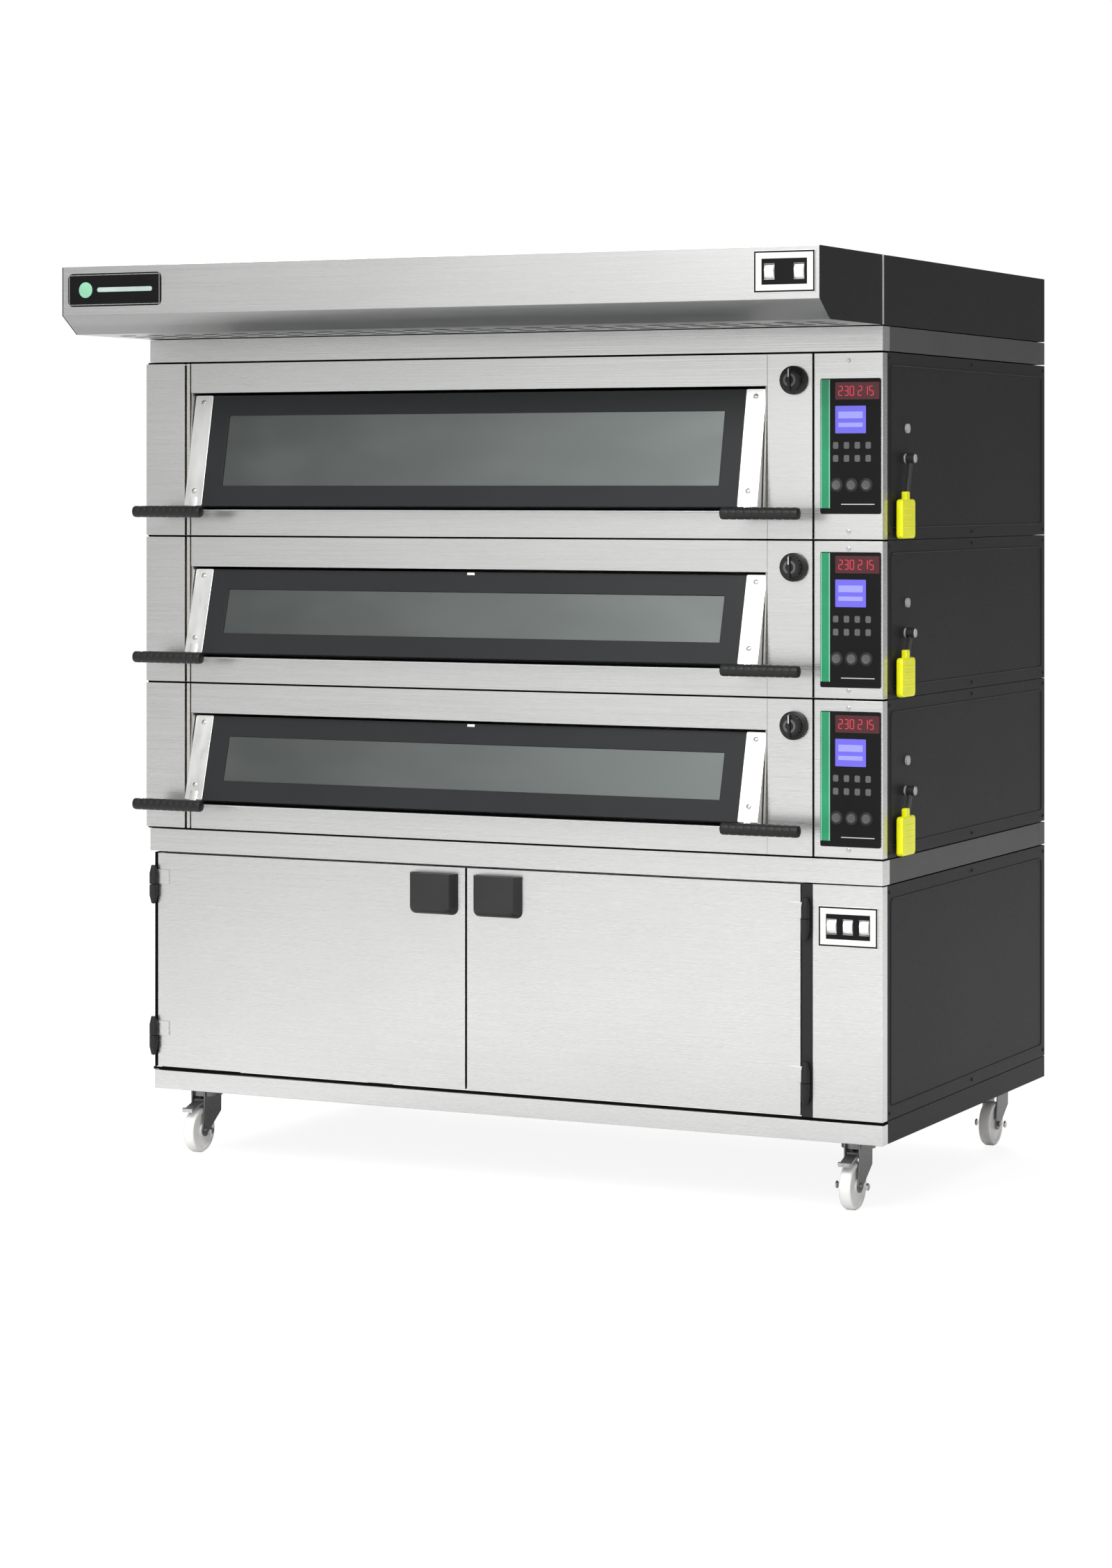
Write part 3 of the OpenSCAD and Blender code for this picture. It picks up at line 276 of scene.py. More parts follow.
# Each finish's maker, its colour or the setting that holds it, and its options
FINISHES = {
    "stainless": (brushed_steel, "stainless", dict(roughness=0.28)),
    "stainless_light": (brushed_steel, (0.86, 0.86, 0.84), dict(roughness=0.30, grain=(60, 60, 4))),
    # painted shade: a darker copy of the brushed steel, laid on the hood canopy's downward faces
    "stainless_dark": (brushed_steel, (0.36, 0.36, 0.36), dict(roughness=0.42)),
    "aluminised": (brushed_steel, (0.42, 0.41, 0.39), dict(roughness=0.46)),
    "chrome_screw": (brushed_steel, (0.55, 0.55, 0.55), dict(roughness=0.25, grain=(400, 400, 400))),
    "zinc": (zinc, (0.26, 0.26, 0.26), dict(low=0.17)),
    "zinc_light": (zinc, (0.60, 0.60, 0.60), dict(low=0.42)),
    "anthracite": (powder_coat, "anthracite", {}),
    "band_grey": (powder_coat, (0.075, 0.075, 0.076), dict(roughness=0.42)),
    "door_enamel": (powder_coat, "door_border", dict(roughness=0.33, peel=0.12)),
    "black_plastic": (moulded, (0.012, 0.012, 0.0125), dict(Specular_IOR_Level=0.3)),
    "charcoal_plastic": (moulded, (0.02, 0.02, 0.021), dict(roughness=0.4, Specular_IOR_Level=0.35)),
    "gasket": (moulded, (0.003, 0.003, 0.003), dict(roughness=0.85, grain=400, Specular_IOR_Level=0.05)),
    "grey_rubber": (moulded, (0.07, 0.07, 0.072), dict(roughness=0.4)),
    "flat_key": (moulded, (0.085, 0.085, 0.088), dict(roughness=0.4)),
    "control_foil": (moulded, (0.006, 0.006, 0.0065),
                     dict(roughness=0.35, grain=1600, strength=0.1, Specular_IOR_Level=0.12)),
    "stripe_green": (moulded, "stripe", dict(roughness=0.32, grain=1600, strength=0.1)),
    "stripe_pale": (moulded, (0.24, 0.55, 0.36), dict(roughness=0.32, grain=1600, strength=0.1)),
    "white_plastic": (moulded, (0.82, 0.82, 0.8), dict(roughness=0.28, grain=1200, strength=0.1)),
    "pale_grey_plastic": (moulded, (0.42, 0.42, 0.42), dict(roughness=0.38)),
    "badge_mark": (moulded, (0.4, 0.5, 0.46), dict(roughness=0.3)),
    "nylon": (moulded, (0.80, 0.80, 0.78), dict(roughness=0.38, grain=500, strength=0.3, Subsurface_Weight=0.08)),
    "yellow_grip": (moulded, "lever", dict(roughness=0.34, grain=700)),
    "mineral_wool": (moulded, (0.45, 0.38, 0.2), dict(roughness=0.95, grain=220, strength=0.9)),
    "heater_sheath": (moulded, (0.05, 0.045, 0.04), dict(roughness=0.6, grain=300, Metallic=0.6)),
    "reflecting_glass": (reflecting_glass, "glass", {}),
    "hearth_stone": (hearth_stone, (0.42, 0.35, 0.27), {}),
    "red_digits": (glowing, "red_display", dict(strength=1.0)),
    "red_window": (glowing, (0.06, 0.003, 0.006), dict(strength=0.75)),
    "blue_window": (glowing, "light_display", dict(strength=0.55)),
    "blue_bars": (glowing, (0.33, 0.33, 1.0), dict(strength=0.7)),
}
_finishes = {}


def finish(name):
    """The material called name, made the first time that it is asked for."""
    if name not in _finishes:
        maker, tint, options = FINISHES[name]
        if isinstance(tint, str):
            tint = tuple(getattr(bpy.context.scene.oven_colours, tint))
        _finishes[name] = maker(name, tint, **options)
    return _finishes[name]


# ---------------------------------------------------------------- mesh tools

def mm(*points):
    """Points given in millimetres."""
    return [tuple(value * MM for value in point) for point in points]


def bevelled(part, edges, offset, segments=2, clamp=False):
    """Rounds edges of a bmesh."""
    bmesh.ops.bevel(part, geom=edges, offset=offset, segments=segments, profile=0.5, affect="EDGES",
                    clamp_overlap=clamp)


def block(low, high):
    """A plain box from corner to corner as a bmesh, and its size."""
    low, high = Vector(low), Vector(high)
    part = bmesh.new()
    matrix = Matrix.Translation((low + high) / 2) @ Matrix.Diagonal((*(high - low), 1))
    bmesh.ops.create_cube(part, size=1, matrix=matrix)
    return part, high - low


class Shape:
    """A mesh in the making, whose faces each take one of several finishes."""

    def __init__(self):
        self.bm = bmesh.new()
        self.finishes = []

    def index(self, name):
        if name not in self.finishes:
            self.finishes.append(name)
        return self.finishes.index(name)

    def take(self, other, name, place=None):
        """Adds the faces of another bmesh, in the finish called name, and frees it."""
        if place is not None:
            bmesh.ops.transform(other, matrix=place, verts=other.verts)
        bmesh.ops.recalc_face_normals(other, faces=other.faces)
        slot = self.index(name)
        for face in other.faces:
            face.material_index = slot
        mesh = bpy.data.meshes.new("part")
        other.to_mesh(mesh)
        other.free()
        self.bm.from_mesh(mesh)
        bpy.data.meshes.remove(mesh)

    def box(self, low, high, name, radius=0.0, place=None):
        """A box from corner to corner, its edges rounded by radius."""
        part, size = block(low, high)
        if radius:
            bevelled(part, part.edges, min(radius, min(size) * 0.49))
        self.take(part, name, place)

    def plate(self, low, high, corner, name, axis="y", edge=0.0, place=None):
        """A box whose four edges along axis are rounded by corner, then all edges by edge."""
        part, size = block(low, high)
        k = "xyz".index(axis)
        long_edges = [e for e in part.edges
                      if abs((e.verts[0].co - e.verts[1].co)[k]) > 0.9 * size[k]
                      and (e.verts[0].co - e.verts[1].co).length < 1.1 * size[k]]
        bevelled(part, long_edges, corner, 6)
        if edge:
            bevelled(part, [e for e in part.edges if e.calc_face_angle(0) > math.radians(60)], edge)
        self.take(part, name, place)

    def panel(self, x, z, face, proud, sunk, name, corner=0.0, edge=0.0):
        """A flat piece over the spans x and z. It stands proud before face and sunk behind it, in millimetres,
        as are the rounding of its four corners and of its edges."""
        low, high = (x[0], face - proud * MM, z[0]), (x[1], face + sunk * MM, z[1])
        if corner:
            self.plate(low, high, corner * MM, name, edge=edge * MM)
        else:
            self.box(low, high, name, radius=edge * MM)

    def turned(self, outline, middle, axis, name, segments=48, place=None):
        """A body turned from (radius, height) points, its heights measured along axis from middle."""
        part = bmesh.new()
        rings = []
        for radius, height in outline:
            turns = [2 * math.pi * k / segments for k in range(segments)] if radius else [0]
            rings.append([part.verts.new((radius * math.cos(a), radius * math.sin(a), height)) for a in turns])
        for first, second in zip(rings, rings[1:]):
            for k in range(segments):
                after = (k + 1) % segments
                corners = [first[k % len(first)], first[after % len(first)],
                           second[after % len(second)], second[k % len(second)]]
                corners = list(dict.fromkeys(corners))
                if len(corners) > 2:
                    part.faces.new(corners)
        for ring in (rings[0], rings[-1]):
            if len(ring) > 1:
                part.faces.new(ring)
        matrix = Matrix.Translation(Vector(middle)) @ AXIS_TO[axis]
        bmesh.ops.transform(part, matrix=matrix, verts=part.verts)
        self.take(part, name, place)

    def finished(self, name, body, slot, replaces=(), smooth=30):
        """The piece as an object that rides on a body."""
        mesh = bpy.data.meshes.new(name)
        self.bm.to_mesh(mesh)
        self.bm.free()
        for finish_name in self.finishes:
            mesh.materials.append(finish(finish_name))
        return settled(name, mesh, body, replaces, smooth)

    def stands_for(self, node_name, name):
        """The piece as an object that takes a CAD node's place."""
        return self.finished(name, body_of(node_name), slot_of(node_name), [node_name])


def settled(name, mesh, body, replaces=(), smooth=30):
    """Makes an object of the mesh, with creases past smooth degrees, riding on body."""
    mesh.shade_smooth()
    mesh.set_sharp_from_angle(angle=math.radians(smooth))
    flatten_normals(mesh)
    piece = placed(name, mesh)
    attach(piece, body)
    if replaces:
        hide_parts(*replaces)
    return piece


def placed(name, data):
    """A new object in the scene."""
    made = bpy.data.objects.new(name, data)
    bpy.context.scene.collection.objects.link(made)
    return made


def flatten_normals(mesh):
    """Makes each smooth corner's normal follow the largest faces around it, so that flat sheets look flat."""
    sharp = {tuple(sorted(edge.vertices)) for edge in mesh.edges if edge.use_edge_sharp}
    faces_at = [[] for _ in mesh.vertices]
    for face in mesh.polygons:
        for vert in face.vertices:
            faces_at[vert].append(face)
    normals = [None] * len(mesh.loops)
    for vert, faces in enumerate(faces_at):
        groups = []
        for face in faces:
            soft = {key for key in map(tuple, map(sorted, face.edge_keys)) if vert in key and key not in sharp}
            members = [face]
            for group in [g for g in groups if g[1] & soft]:
                members.extend(group[0])
                soft |= group[1]
                groups.remove(group)
            groups.append((members, soft))
        for members, _ in groups:
            total = Vector((0, 0, 0))
            for face in members:
                total += face.normal * face.area
            total.normalize()
            for face in members:
                for loop in face.loop_indices:
                    if mesh.loops[loop].vertex_index == vert:
                        normals[loop] = total
    mesh.normals_split_custom_set([tuple(n) for n in normals])


def body_of(name):
    """The body that a CAD node rides on."""
    return frame["nodes"][name]["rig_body"]


def slot_of(name):
    """The material slot of a CAD node."""
    return next(part["material_slot"] for part in frame["record"]["subparts"] if part["node"] == name)


def centre(name):
    """The middle of a CAD node's box."""
    low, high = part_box(name)
    return (low + high) / 2


def extent(points):
    """The lowest and the highest corner of points."""
    columns = list(zip(*points))
    return Vector(min(c) for c in columns), Vector(max(c) for c in columns)


def cad_islands(name):
    """The separate solids of a CAD node: each as a clean bmesh, with its lowest and highest corner."""
    whole = bmesh.new()
    whole.from_mesh(frame["nodes"][name].data)
    bmesh.ops.remove_doubles(whole, verts=whole.verts, dist=WELD_DISTANCE)
    bmesh.ops.dissolve_limit(whole, angle_limit=FLAT_ANGLE, verts=whole.verts, edges=whole.edges)
    whole.verts.index_update()
    labels, count = {}, 0
    for start in whole.verts:
        if start in labels:
            continue
        stack = [start]
        while stack:
            vert = stack.pop()
            if vert not in labels:
                labels[vert] = count
                stack.extend(edge.other_vert(vert) for edge in vert.link_edges)
        count += 1
    islands = []
    for label in range(count):
        part = whole.copy()
        part.verts.ensure_lookup_table()
        drop = [part.verts[v.index] for v, other in labels.items() if other != label]
        bmesh.ops.delete(part, geom=drop, context="VERTS")
        if part.faces:
            islands.append((part, *extent(v.co for v in part.verts)))
        else:
            part.free()
    whole.free()
    return islands


def solid_boxes(name):
    """The lowest and highest corner of each solid of a CAD node."""
    boxes = []
    for part, low, high in cad_islands(name):
        part.free()
        boxes.append((low, high))
    return boxes


def softened(name, solids, finish_name, body, slot, radius, replaces=(), segments=2):
    """One piece from CAD solids, with every sharp edge rounded by radius. finish_name may be a
    function of a solid's lowest and highest corners."""
    shape = Shape()
    for part, low, high in solids:
        which = finish_name(low, high) if callable(finish_name) else finish_name
        sharp = [e for e in part.edges if len(e.link_faces) == 2 and e.calc_face_angle(0) > SHARP_ANGLE]
        bevelled(part, sharp, min(radius, 0.3 * min(high - low)), segments, clamp=True)
        shape.take(part, which)
    return shape.finished(name, body, slot, replaces, smooth=28)


def soften_node(name, finish_name, radius=None, segments=2):
    """A CAD node as one softened piece that stands for it."""
    radius = bpy.context.scene.oven_sizes.fold_radius if radius is None else radius
    return softened(name + "_finished", cad_islands(name), finish_name, body_of(name), slot_of(name),
                    radius, [name], segments)


def paint_node(name, finish_name):
    """Gives a CAD node, as it is, a finish."""
    materials = frame["nodes"][name].data.materials
    materials.clear()
    materials.append(finish(finish_name))


# ---------------------------------------------------------------- geometry nodes

def geometry_tree(name, sockets, grow):
    """A Geometry Nodes tree with named inputs. grow makes its geometry, which is then realized and painted."""
    tree = bpy.data.node_groups.new(name, "GeometryNodeTree")
    tree.interface.new_socket(name="Geometry", in_out="INPUT", socket_type="NodeSocketGeometry")
    for socket, kind in {**sockets, "Material": "Material"}.items():
        tree.interface.new_socket(name=socket, in_out="INPUT", socket_type="NodeSocket" + kind)
    tree.interface.new_socket(name="Geometry", in_out="OUTPUT", socket_type="NodeSocketGeometry")
    given = tree.nodes.new("NodeGroupInput").outputs
    realize = add_node(tree, "GeometryNodeRealizeInstances", Geometry=grow(tree, given))
    paint = add_node(tree, "GeometryNodeSetMaterial", Geometry=realize.outputs["Geometry"],
                     Material=given["Material"])
    add_node(tree, "NodeGroupOutput", Geometry=paint.outputs["Geometry"])
    return tree


def on_points(tree, given, stamp):
    """Puts stamp on every point, its Z along the point's facing."""
    facing = add_node(tree, "GeometryNodeInputNamedAttribute", {"data_type": "FLOAT_VECTOR"}, Name="facing")
    align = add_node(tree, "FunctionNodeAlignRotationToVector", {"axis": "Z"}, Vector=facing.outputs["Attribute"])
    return add_node(tree, "GeometryNodeInstanceOnPoints", Points=given["Geometry"],
                    Rotation=align.outputs["Rotation"], Instance=stamp).outputs["Instances"]


def scaled_dome(tree, segments, radius, scale):
    """A sphere of eight rings, scaled."""
    dome = add_node(tree, "GeometryNodeMeshUVSphere", Segments=segments, Rings=8, Radius=radius)
    return add_node(tree, "GeometryNodeTransform", Geometry=dome.outputs["Mesh"], Scale=scale).outputs["Geometry"]


def grow_screws(tree, given):
    """Pan heads with a cross recess."""
    size = add_node(tree, "ShaderNodeCombineXYZ", X=given["Radius"], Y=given["Radius"],
                    Z=given["Height"]).outputs["Vector"]
    cut = add_node(tree, "GeometryNodeMeshBoolean", {"operation": "DIFFERENCE"},
                   Mesh_1=scaled_dome(tree, 20, 1, size))
    for turn in (0, math.pi / 2):
        bar = add_node(tree, "GeometryNodeMeshCube", Size=(1.1, 0.24, 1.0))
        move = add_node(tree, "GeometryNodeTransform", Geometry=bar.outputs["Mesh"], Translation=(0, 0, 1.0),
                        Rotation=(0, 0, turn))
        fit = add_node(tree, "GeometryNodeTransform", Geometry=move.outputs["Geometry"], Scale=size)
        feed(tree, cut.inputs["Mesh 2"], fit.outputs["Geometry"])
    return on_points(tree, given, cut.outputs["Mesh"])


def grow_louvres(tree, given):
    """Pressed louvres: long low domes."""
    return on_points(tree, given, scaled_dome(tree, 16, 0.5, given["Size"]))


def grow_beads(tree, given):
    """A round bead along every edge path."""
    path = add_node(tree, "GeometryNodeMeshToCurve", Mesh=given["Geometry"])
    fillet = add_node(tree, "GeometryNodeFilletCurve", {"mode": "POLY"}, Curve=path.outputs["Curve"],
                      Radius=12 * MM, Count=6)
    circle = add_node(tree, "GeometryNodeCurvePrimitiveCircle", Resolution=8, Radius=given["Radius"])
    return add_node(tree, "GeometryNodeCurveToMesh", Curve=fillet.outputs["Curve"],
                    Profile_Curve=circle.outputs["Curve"]).outputs["Mesh"]


TREE_INPUTS = {grow_screws: {"Radius": "Float", "Height": "Float"}, grow_louvres: {"Size": "Vector"},
               grow_beads: {"Radius": "Float"}}
_trees = {}


def grown(name, grow, mesh, values, finish_name, body):
    """The mesh after a Geometry Nodes tree, as a plain piece."""
    if grow not in _trees:
        _trees[grow] = geometry_tree(grow.__name__, TREE_INPUTS[grow], grow)
    seed = placed(name + "_seed", mesh)
    modifier = seed.modifiers.new("tree", "NODES")
    modifier.node_group = _trees[grow]
    values = {**values, "Material": finish(finish_name)}
    for item in _trees[grow].interface.items_tree:
        if item.item_type == "SOCKET" and item.in_out == "INPUT" and item.name in values:
            modifier[item.identifier] = values[item.name]
    seen = bpy.context.evaluated_depsgraph_get()
    result = bpy.data.meshes.new_from_object(seed.evaluated_get(seen), depsgraph=seen)
    bpy.data.objects.remove(seed)
    return settled(name, result, body)


def point_mesh(points, facing):
    """A mesh of loose points that all face one way, or one way each."""
    mesh = bpy.data.meshes.new("points")
    mesh.from_pydata([tuple(p) for p in points], [], [])
    ways = [facing] * len(points) if isinstance(facing[0], (int, float)) else facing
    attribute = mesh.attributes.new("facing", "FLOAT_VECTOR", "POINT")
    for item, way in zip(attribute.data, ways):
        item.vector = way
    return mesh


def screws(name, points, facing, body, finish_name="chrome_screw", radius=None):
    """Pan-head screws at points."""
    sizes = bpy.context.scene.oven_sizes
    values = {"Radius": radius or sizes.screw_radius, "Height": sizes.screw_height}
    return grown(name, grow_screws, point_mesh(points, facing), values, finish_name, body)


def louvres(name, points, facing, size, finish_name):
    """Pressed louvres of one size at points."""
    return grown(name, grow_louvres, point_mesh(points, facing), {"Size": size}, finish_name, "oven")


def loop_mesh(loops):
    """Closed paths, each a list of corners."""
    points, edges = [], []
    for loop in loops:
        first, count = len(points), len(loop)
        edges += [(first + k, first + (k + 1) % count) for k in range(count)]
        points += loop
    mesh = bpy.data.meshes.new("loops")
    mesh.from_pydata(points, edges, [])
    return mesh


# ---------------------------------------------------------------- places worked out from the frame

def front_y():
    """The plane of the deck fronts."""
    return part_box("cabinet_bands")[0].y


def door_place(deck):
    """The matrix from a door's own frame, with +Z up the slab, to the oven's."""
    mesh = frame["nodes"][f"{deck}_door_frame"].data
    face = max((p for p in mesh.polygons if p.normal.y < -0.5), key=lambda p: p.area)
    lean = math.atan2(face.normal.z, -face.normal.y)
    pivot = Vector(JOINTS[f"{deck}_door_hinge"]["pos_m"])
    return Matrix.Translation(pivot) @ Matrix.Rotation(-lean, 4, "X")


def local_box(name, place):
    """A CAD node's corners in another frame."""
    back = place.inverted()
    return extent(back @ v.co for v in frame["nodes"][name].data.vertices)


def deck_levels():
    """The floor and the top of each deck, from the side covers' solids."""
    levels = {(round(low.z, 4), round(high.z, 4)) for low, high in solid_boxes("outer_covers")}
    return sorted(levels)[1:]


# ---------------------------------------------------------------- operators

class OVEN_OT_sheet_metal(bpy.types.Operator):
    """Base frame, prover front, bands, deck fronts and covers, with folded edges"""
    bl_idname = "oven.sheet_metal"
    bl_label = "Sheet metal"

    def execute(self, context):
        soften_node("base_frame", base_finish, radius=1.2 * MM)
        soften_node("prover_cabinet", "stainless")
        soften_node("cabinet_bands", band_finish)
        soften_node("deck_fronts", deck_front_finish)
        soften_node("outer_covers", "anthracite", radius=0.5 * MM)
        return {"FINISHED"}


def base_finish(low, high):
    """The front rail is brushed, the rest of the frame is coated dark."""
    return "stainless" if high.y - low.y < 40 * MM and low.y < front_y() + MM else "anthracite"


def band_finish(low, high):
    """The bands' front bars are brushed and the others are grey."""
    return "stainless" if low.y < front_y() + MM else "band_grey"


def deck_front_finish(low, high):
    """The thin pivot plates in the recess are aluminised."""
    return "aluminised" if high.x - low.x < 5 * MM else "stainless"


class OVEN_OT_front_gaskets(bpy.types.Operator):
    """Black gaskets behind the seams and grooves of the fronts"""
    bl_idname = "oven.front_gaskets"
    bl_label = "Front gaskets"

    def execute(self, context):
        shape = Shape()
        low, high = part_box("deck_fronts")
        y0, y1 = front_y() + 3.8 * MM, front_y() + 5.5 * MM
        end = high.x - 3 * MM
        levels = deck_levels()
        for x0, x1 in groove_spans(levels[0][0]):
            for z0, z1 in levels:
                shape.box((x0, y0, z0), (x1, y1, z1), "gasket")
        seams = [levels[0][0]] + [(a[1] + b[0]) / 2 for a, b in zip(levels, levels[1:])] + [levels[-1][1]]
        for z in seams:
            shape.box((low.x + 3 * MM, y0, z - 2 * MM), (end, y1, z + 2 * MM), "gasket")
        rail_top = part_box("prover_cabinet")[0].z
        shape.box((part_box("prover_door_left")[0].x, y0, rail_top - 6 * MM), (end, y1, rail_top), "gasket")
        shape.finished("front_gaskets", "oven", "black_plastic")
        return {"FINISHED"}


def groove_spans(floor):
    """Where the vertical grooves of the deck fronts are, from the gaps between the lowest deck's sheets."""
    sheets = sorted((low.x, high.x) for low, high in solid_boxes("deck_fronts")
                    if abs(low.z - floor) < MM and high.z - low.z > 200 * MM)
    return [(end - 4 * MM, begin + 4 * MM) for (_, end), (begin, _) in zip(sheets, sheets[1:])
            if 0 < begin - end < 8 * MM]


class OVEN_OT_cover_details(bpy.types.Operator):
    """Pressed beads, screws and louvres on the side and back covers"""
    bl_idname = "oven.cover_details"
    bl_label = "Cover details"

    def execute(self, context):
        sizes = context.scene.oven_sizes
        low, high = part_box("outer_covers")
        prover_low, prover_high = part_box("prover_door_left")
        front = front_y() + 45 * MM
        inset, screw_inset, louvre_x = 26 * MM, 12 * MM, 550 * MM
        loops, points, ways, vents = [], [], [], []
        for z0, z1 in [(prover_low.z, prover_high.z)] + deck_levels():
            loops.append([(high.x, front, z0 + inset), (high.x, high.y - inset, z0 + inset),
                          (high.x, high.y - inset, z1 - inset), (high.x, front, z1 - inset)])
            heights = (z0 + screw_inset, z1 - screw_inset)
            for y in (front - 8 * MM, (front + high.y) / 2, high.y - screw_inset):
                points += [(high.x, y, z) for z in heights]
            for x in (low.x + 60 * MM, 0, high.x - 60 * MM):
                points += [(x, high.y, z) for z in heights]
            ways += [(1, 0, 0)] * 6 + [(0, 1, 0)] * 6
            for side in (-1, 1):
                vents += [(side * louvre_x, high.y, z0 + (z1 - z0) * (k + 2) / (sizes.louvre_count + 3))
                          for k in range(sizes.louvre_count)]
        grown("cover_beads", grow_beads, loop_mesh(loops), {"Radius": sizes.bead_radius},
              "anthracite", "oven")
        screws("cover_screws", points, ways, "oven", finish_name="anthracite")
        louvres("back_louvres", vents, (0, 1, 0), mm((260, 9, 8))[0], "anthracite")
        return {"FINISHED"}


class OVEN_OT_doors(bpy.types.Operator):
    """Oven doors: dark frames, glass, end brackets and grips"""
    bl_idname = "oven.doors"
    bl_label = "Oven doors"

    def execute(self, context):
        for deck in DECKS:
            soften_node(f"{deck}_door_frame", "door_enamel", radius=1.6 * MM, segments=3)
            paint_node(f"{deck}_door_glass", "reflecting_glass")
            door_ends(deck)
        return {"FINISHED"}


def door_ends(deck):
    """Bright end brackets with pins, straps and black grips, and their screws."""
    handles = f"{deck}_door_handles"
    place = door_place(deck)
    slab_low, slab_high = local_box(f"{deck}_door_frame", place)
    low, high = local_box(handles, place)
    door_low, door_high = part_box(f"{deck}_door_frame")
    body = body_of(handles)
    brackets, grips, points = Shape(), Shape(), []
    width, grip_radius, strap_half = 46 * MM, 13 * MM, 8 * MM
    pin_reach = width + 5.5 * MM
    grip_y, grip_z = low.y + grip_radius, slab_low.z - 20 * MM
    front = slab_low.y - MM
    if deck != DECKS[-1]:
        middle = (slab_low.x + slab_high.x) / 2
        brackets.box((-9 * MM, slab_low.y - 1.5 * MM, slab_high.z - 8 * MM),
                     (9 * MM, slab_low.y + 0.5 * MM, slab_high.z - 2 * MM), "stainless_light", radius=0.6 * MM,
                     place=Matrix.Translation((middle, 0, 0)) @ place)
    ends = ((-1, slab_low.x, door_low.x, low.x), (1, slab_high.x, door_high.x, high.x))
    for side, inner, door_end, grip_end in ends:
        outer = inner + side * width
        x0, x1 = sorted((inner + side * 0.3 * MM, outer))
        middle = (x0 + x1) / 2
        brackets.plate((x0, front, slab_low.z), (x1, slab_high.y, slab_high.z), 3 * MM,
                       "stainless_light", edge=MM, place=place)
        pin_low, pin_high = sorted((outer - side * MM, door_end + side * pin_reach))
        brackets.turned(mm((0, 0), (4.5, 0), (5, 0.5)) + [(5 * MM, pin_high - pin_low)],
                        (pin_low, 0, 0), "x", "stainless_light", place=place)
        brackets.box((middle - strap_half, grip_y, grip_z - 4 * MM), (middle + strap_half, front, grip_z + 4 * MM),
                     "stainless_light", radius=1.5 * MM, place=place)
        brackets.box((middle - strap_half, slab_low.y - 4 * MM, grip_z - 4 * MM),
                     (middle + strap_half, slab_low.y - 0.5 * MM, slab_low.z + 20 * MM), "stainless_light",
                     radius=1.2 * MM, place=place)
        grip_in = inner - side * 22 * MM
        grips.turned(grip_outline(grip_radius, abs(grip_end - grip_in)), (min(grip_in, grip_end), grip_y, grip_z),
                     "x", "black_plastic", place=place)
        points += [place @ Vector((middle, front, z)) for z in (slab_low.z + 34 * MM, slab_high.z - 16 * MM)]
    brackets.finished(f"{deck}_door_brackets", body, "stainless", [handles])
    grips.finished(f"{deck}_door_grips", body, "black_plastic", [handles])
    facing = tuple(place.to_3x3() @ Vector((0, -1, 0)))
    screws(f"{deck}_bracket_screws", points, facing, body, radius=6 * MM)


def grip_outline(radius, length_x, grooves=9):
    """A grip with domed ends and shallow finger grooves."""
    dome = [(0, 0), (radius * 0.6, 0.6 * MM), (radius * 0.9, 2.4 * MM), (radius, 6 * MM)]
    outline = list(dome)
    for k in range(grooves):
        at = 12 * MM + (length_x - 24 * MM) * (k + 0.5) / grooves
        outline += [(radius, at - 3 * MM), (radius - 0.8 * MM, at - 1 * MM),
                    (radius - 0.8 * MM, at + 1 * MM), (radius, at + 3 * MM)]
    return outline + [(r, length_x - at) for r, at in reversed(dome)]


class OVEN_OT_knobs(bpy.types.Operator):
    """Damper knobs with a skirt, flutes, a pale ring and a pointer"""
    bl_idname = "oven.knobs"
    bl_label = "Damper knobs"

    def execute(self, context):
        for deck in DECKS:
            damper_knob(deck)
        return {"FINISHED"}


def damper_knob(deck):
    """A skirted knob with flutes, a ring and a pointer, on its spindle."""
    name = f"{deck}_damper_knob"
    low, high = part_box(name)
    x, z = (low.x + high.x) / 2, (low.z + high.z) / 2
    face, skirt = low.y + 6 * MM, front_y() - 3 * MM
    radius, depth, spindle = (high.x - low.x) / 2, skirt - face, high.y - skirt
    shape = Shape()
    shape.turned([(0, 0), (radius - 1 * MM, 0), (radius, 1 * MM), (radius, 5 * MM), (radius - 4 * MM, 7 * MM),
                  (radius - 7 * MM, 9 * MM), (radius - 8 * MM, depth - 2 * MM), (radius - 10 * MM, depth),
                  (0, depth)], (x, skirt, z), "y", "black_plastic")
    flutes, reach = 18, radius - 7.6 * MM
    for k in range(flutes):
        turn = 2 * math.pi * k / flutes
        shape.turned([(0, 0), (1.6 * MM, 0.4 * MM), (1.6 * MM, depth - 12 * MM), (0, depth - 11.4 * MM)],
                     (x + reach * math.cos(turn), skirt - 9 * MM, z + reach * math.sin(turn)), "y",
                     "black_plastic", segments=8)
    shape.turned(mm((9, -0.5), (14, -0.5), (14, 0.7), (13, 1.2), (10, 1.2), (9, 0.7), (9, -0.5)),
                 (x, face, z), "y", "flat_key")
    shape.box((x - 3 * MM, face - 6 * MM, z - radius + 5 * MM), (x + 3 * MM, face + 2 * MM, z + radius - 5 * MM),
              "black_plastic", radius=1.5 * MM)
    shape.box((x - 0.8 * MM, face - 6.4 * MM, z + 6 * MM), (x + 0.8 * MM, face - 5.5 * MM, z + radius - 7 * MM),
              "white_plastic")
    shape.turned([(0, -spindle), (4 * MM, -spindle)] + mm((4, -13), (9, -13), (9, -6), (4, -6), (4, 0.5), (0, 0.5)),
                 (x, skirt, z), "y", "chrome_screw")
    shape.stands_for(name, f"{deck}_knob_detail")


SEGMENTS = {"0": "abcdef", "1": "bc", "2": "abged", "3": "abgcd", "5": "afgcd"}


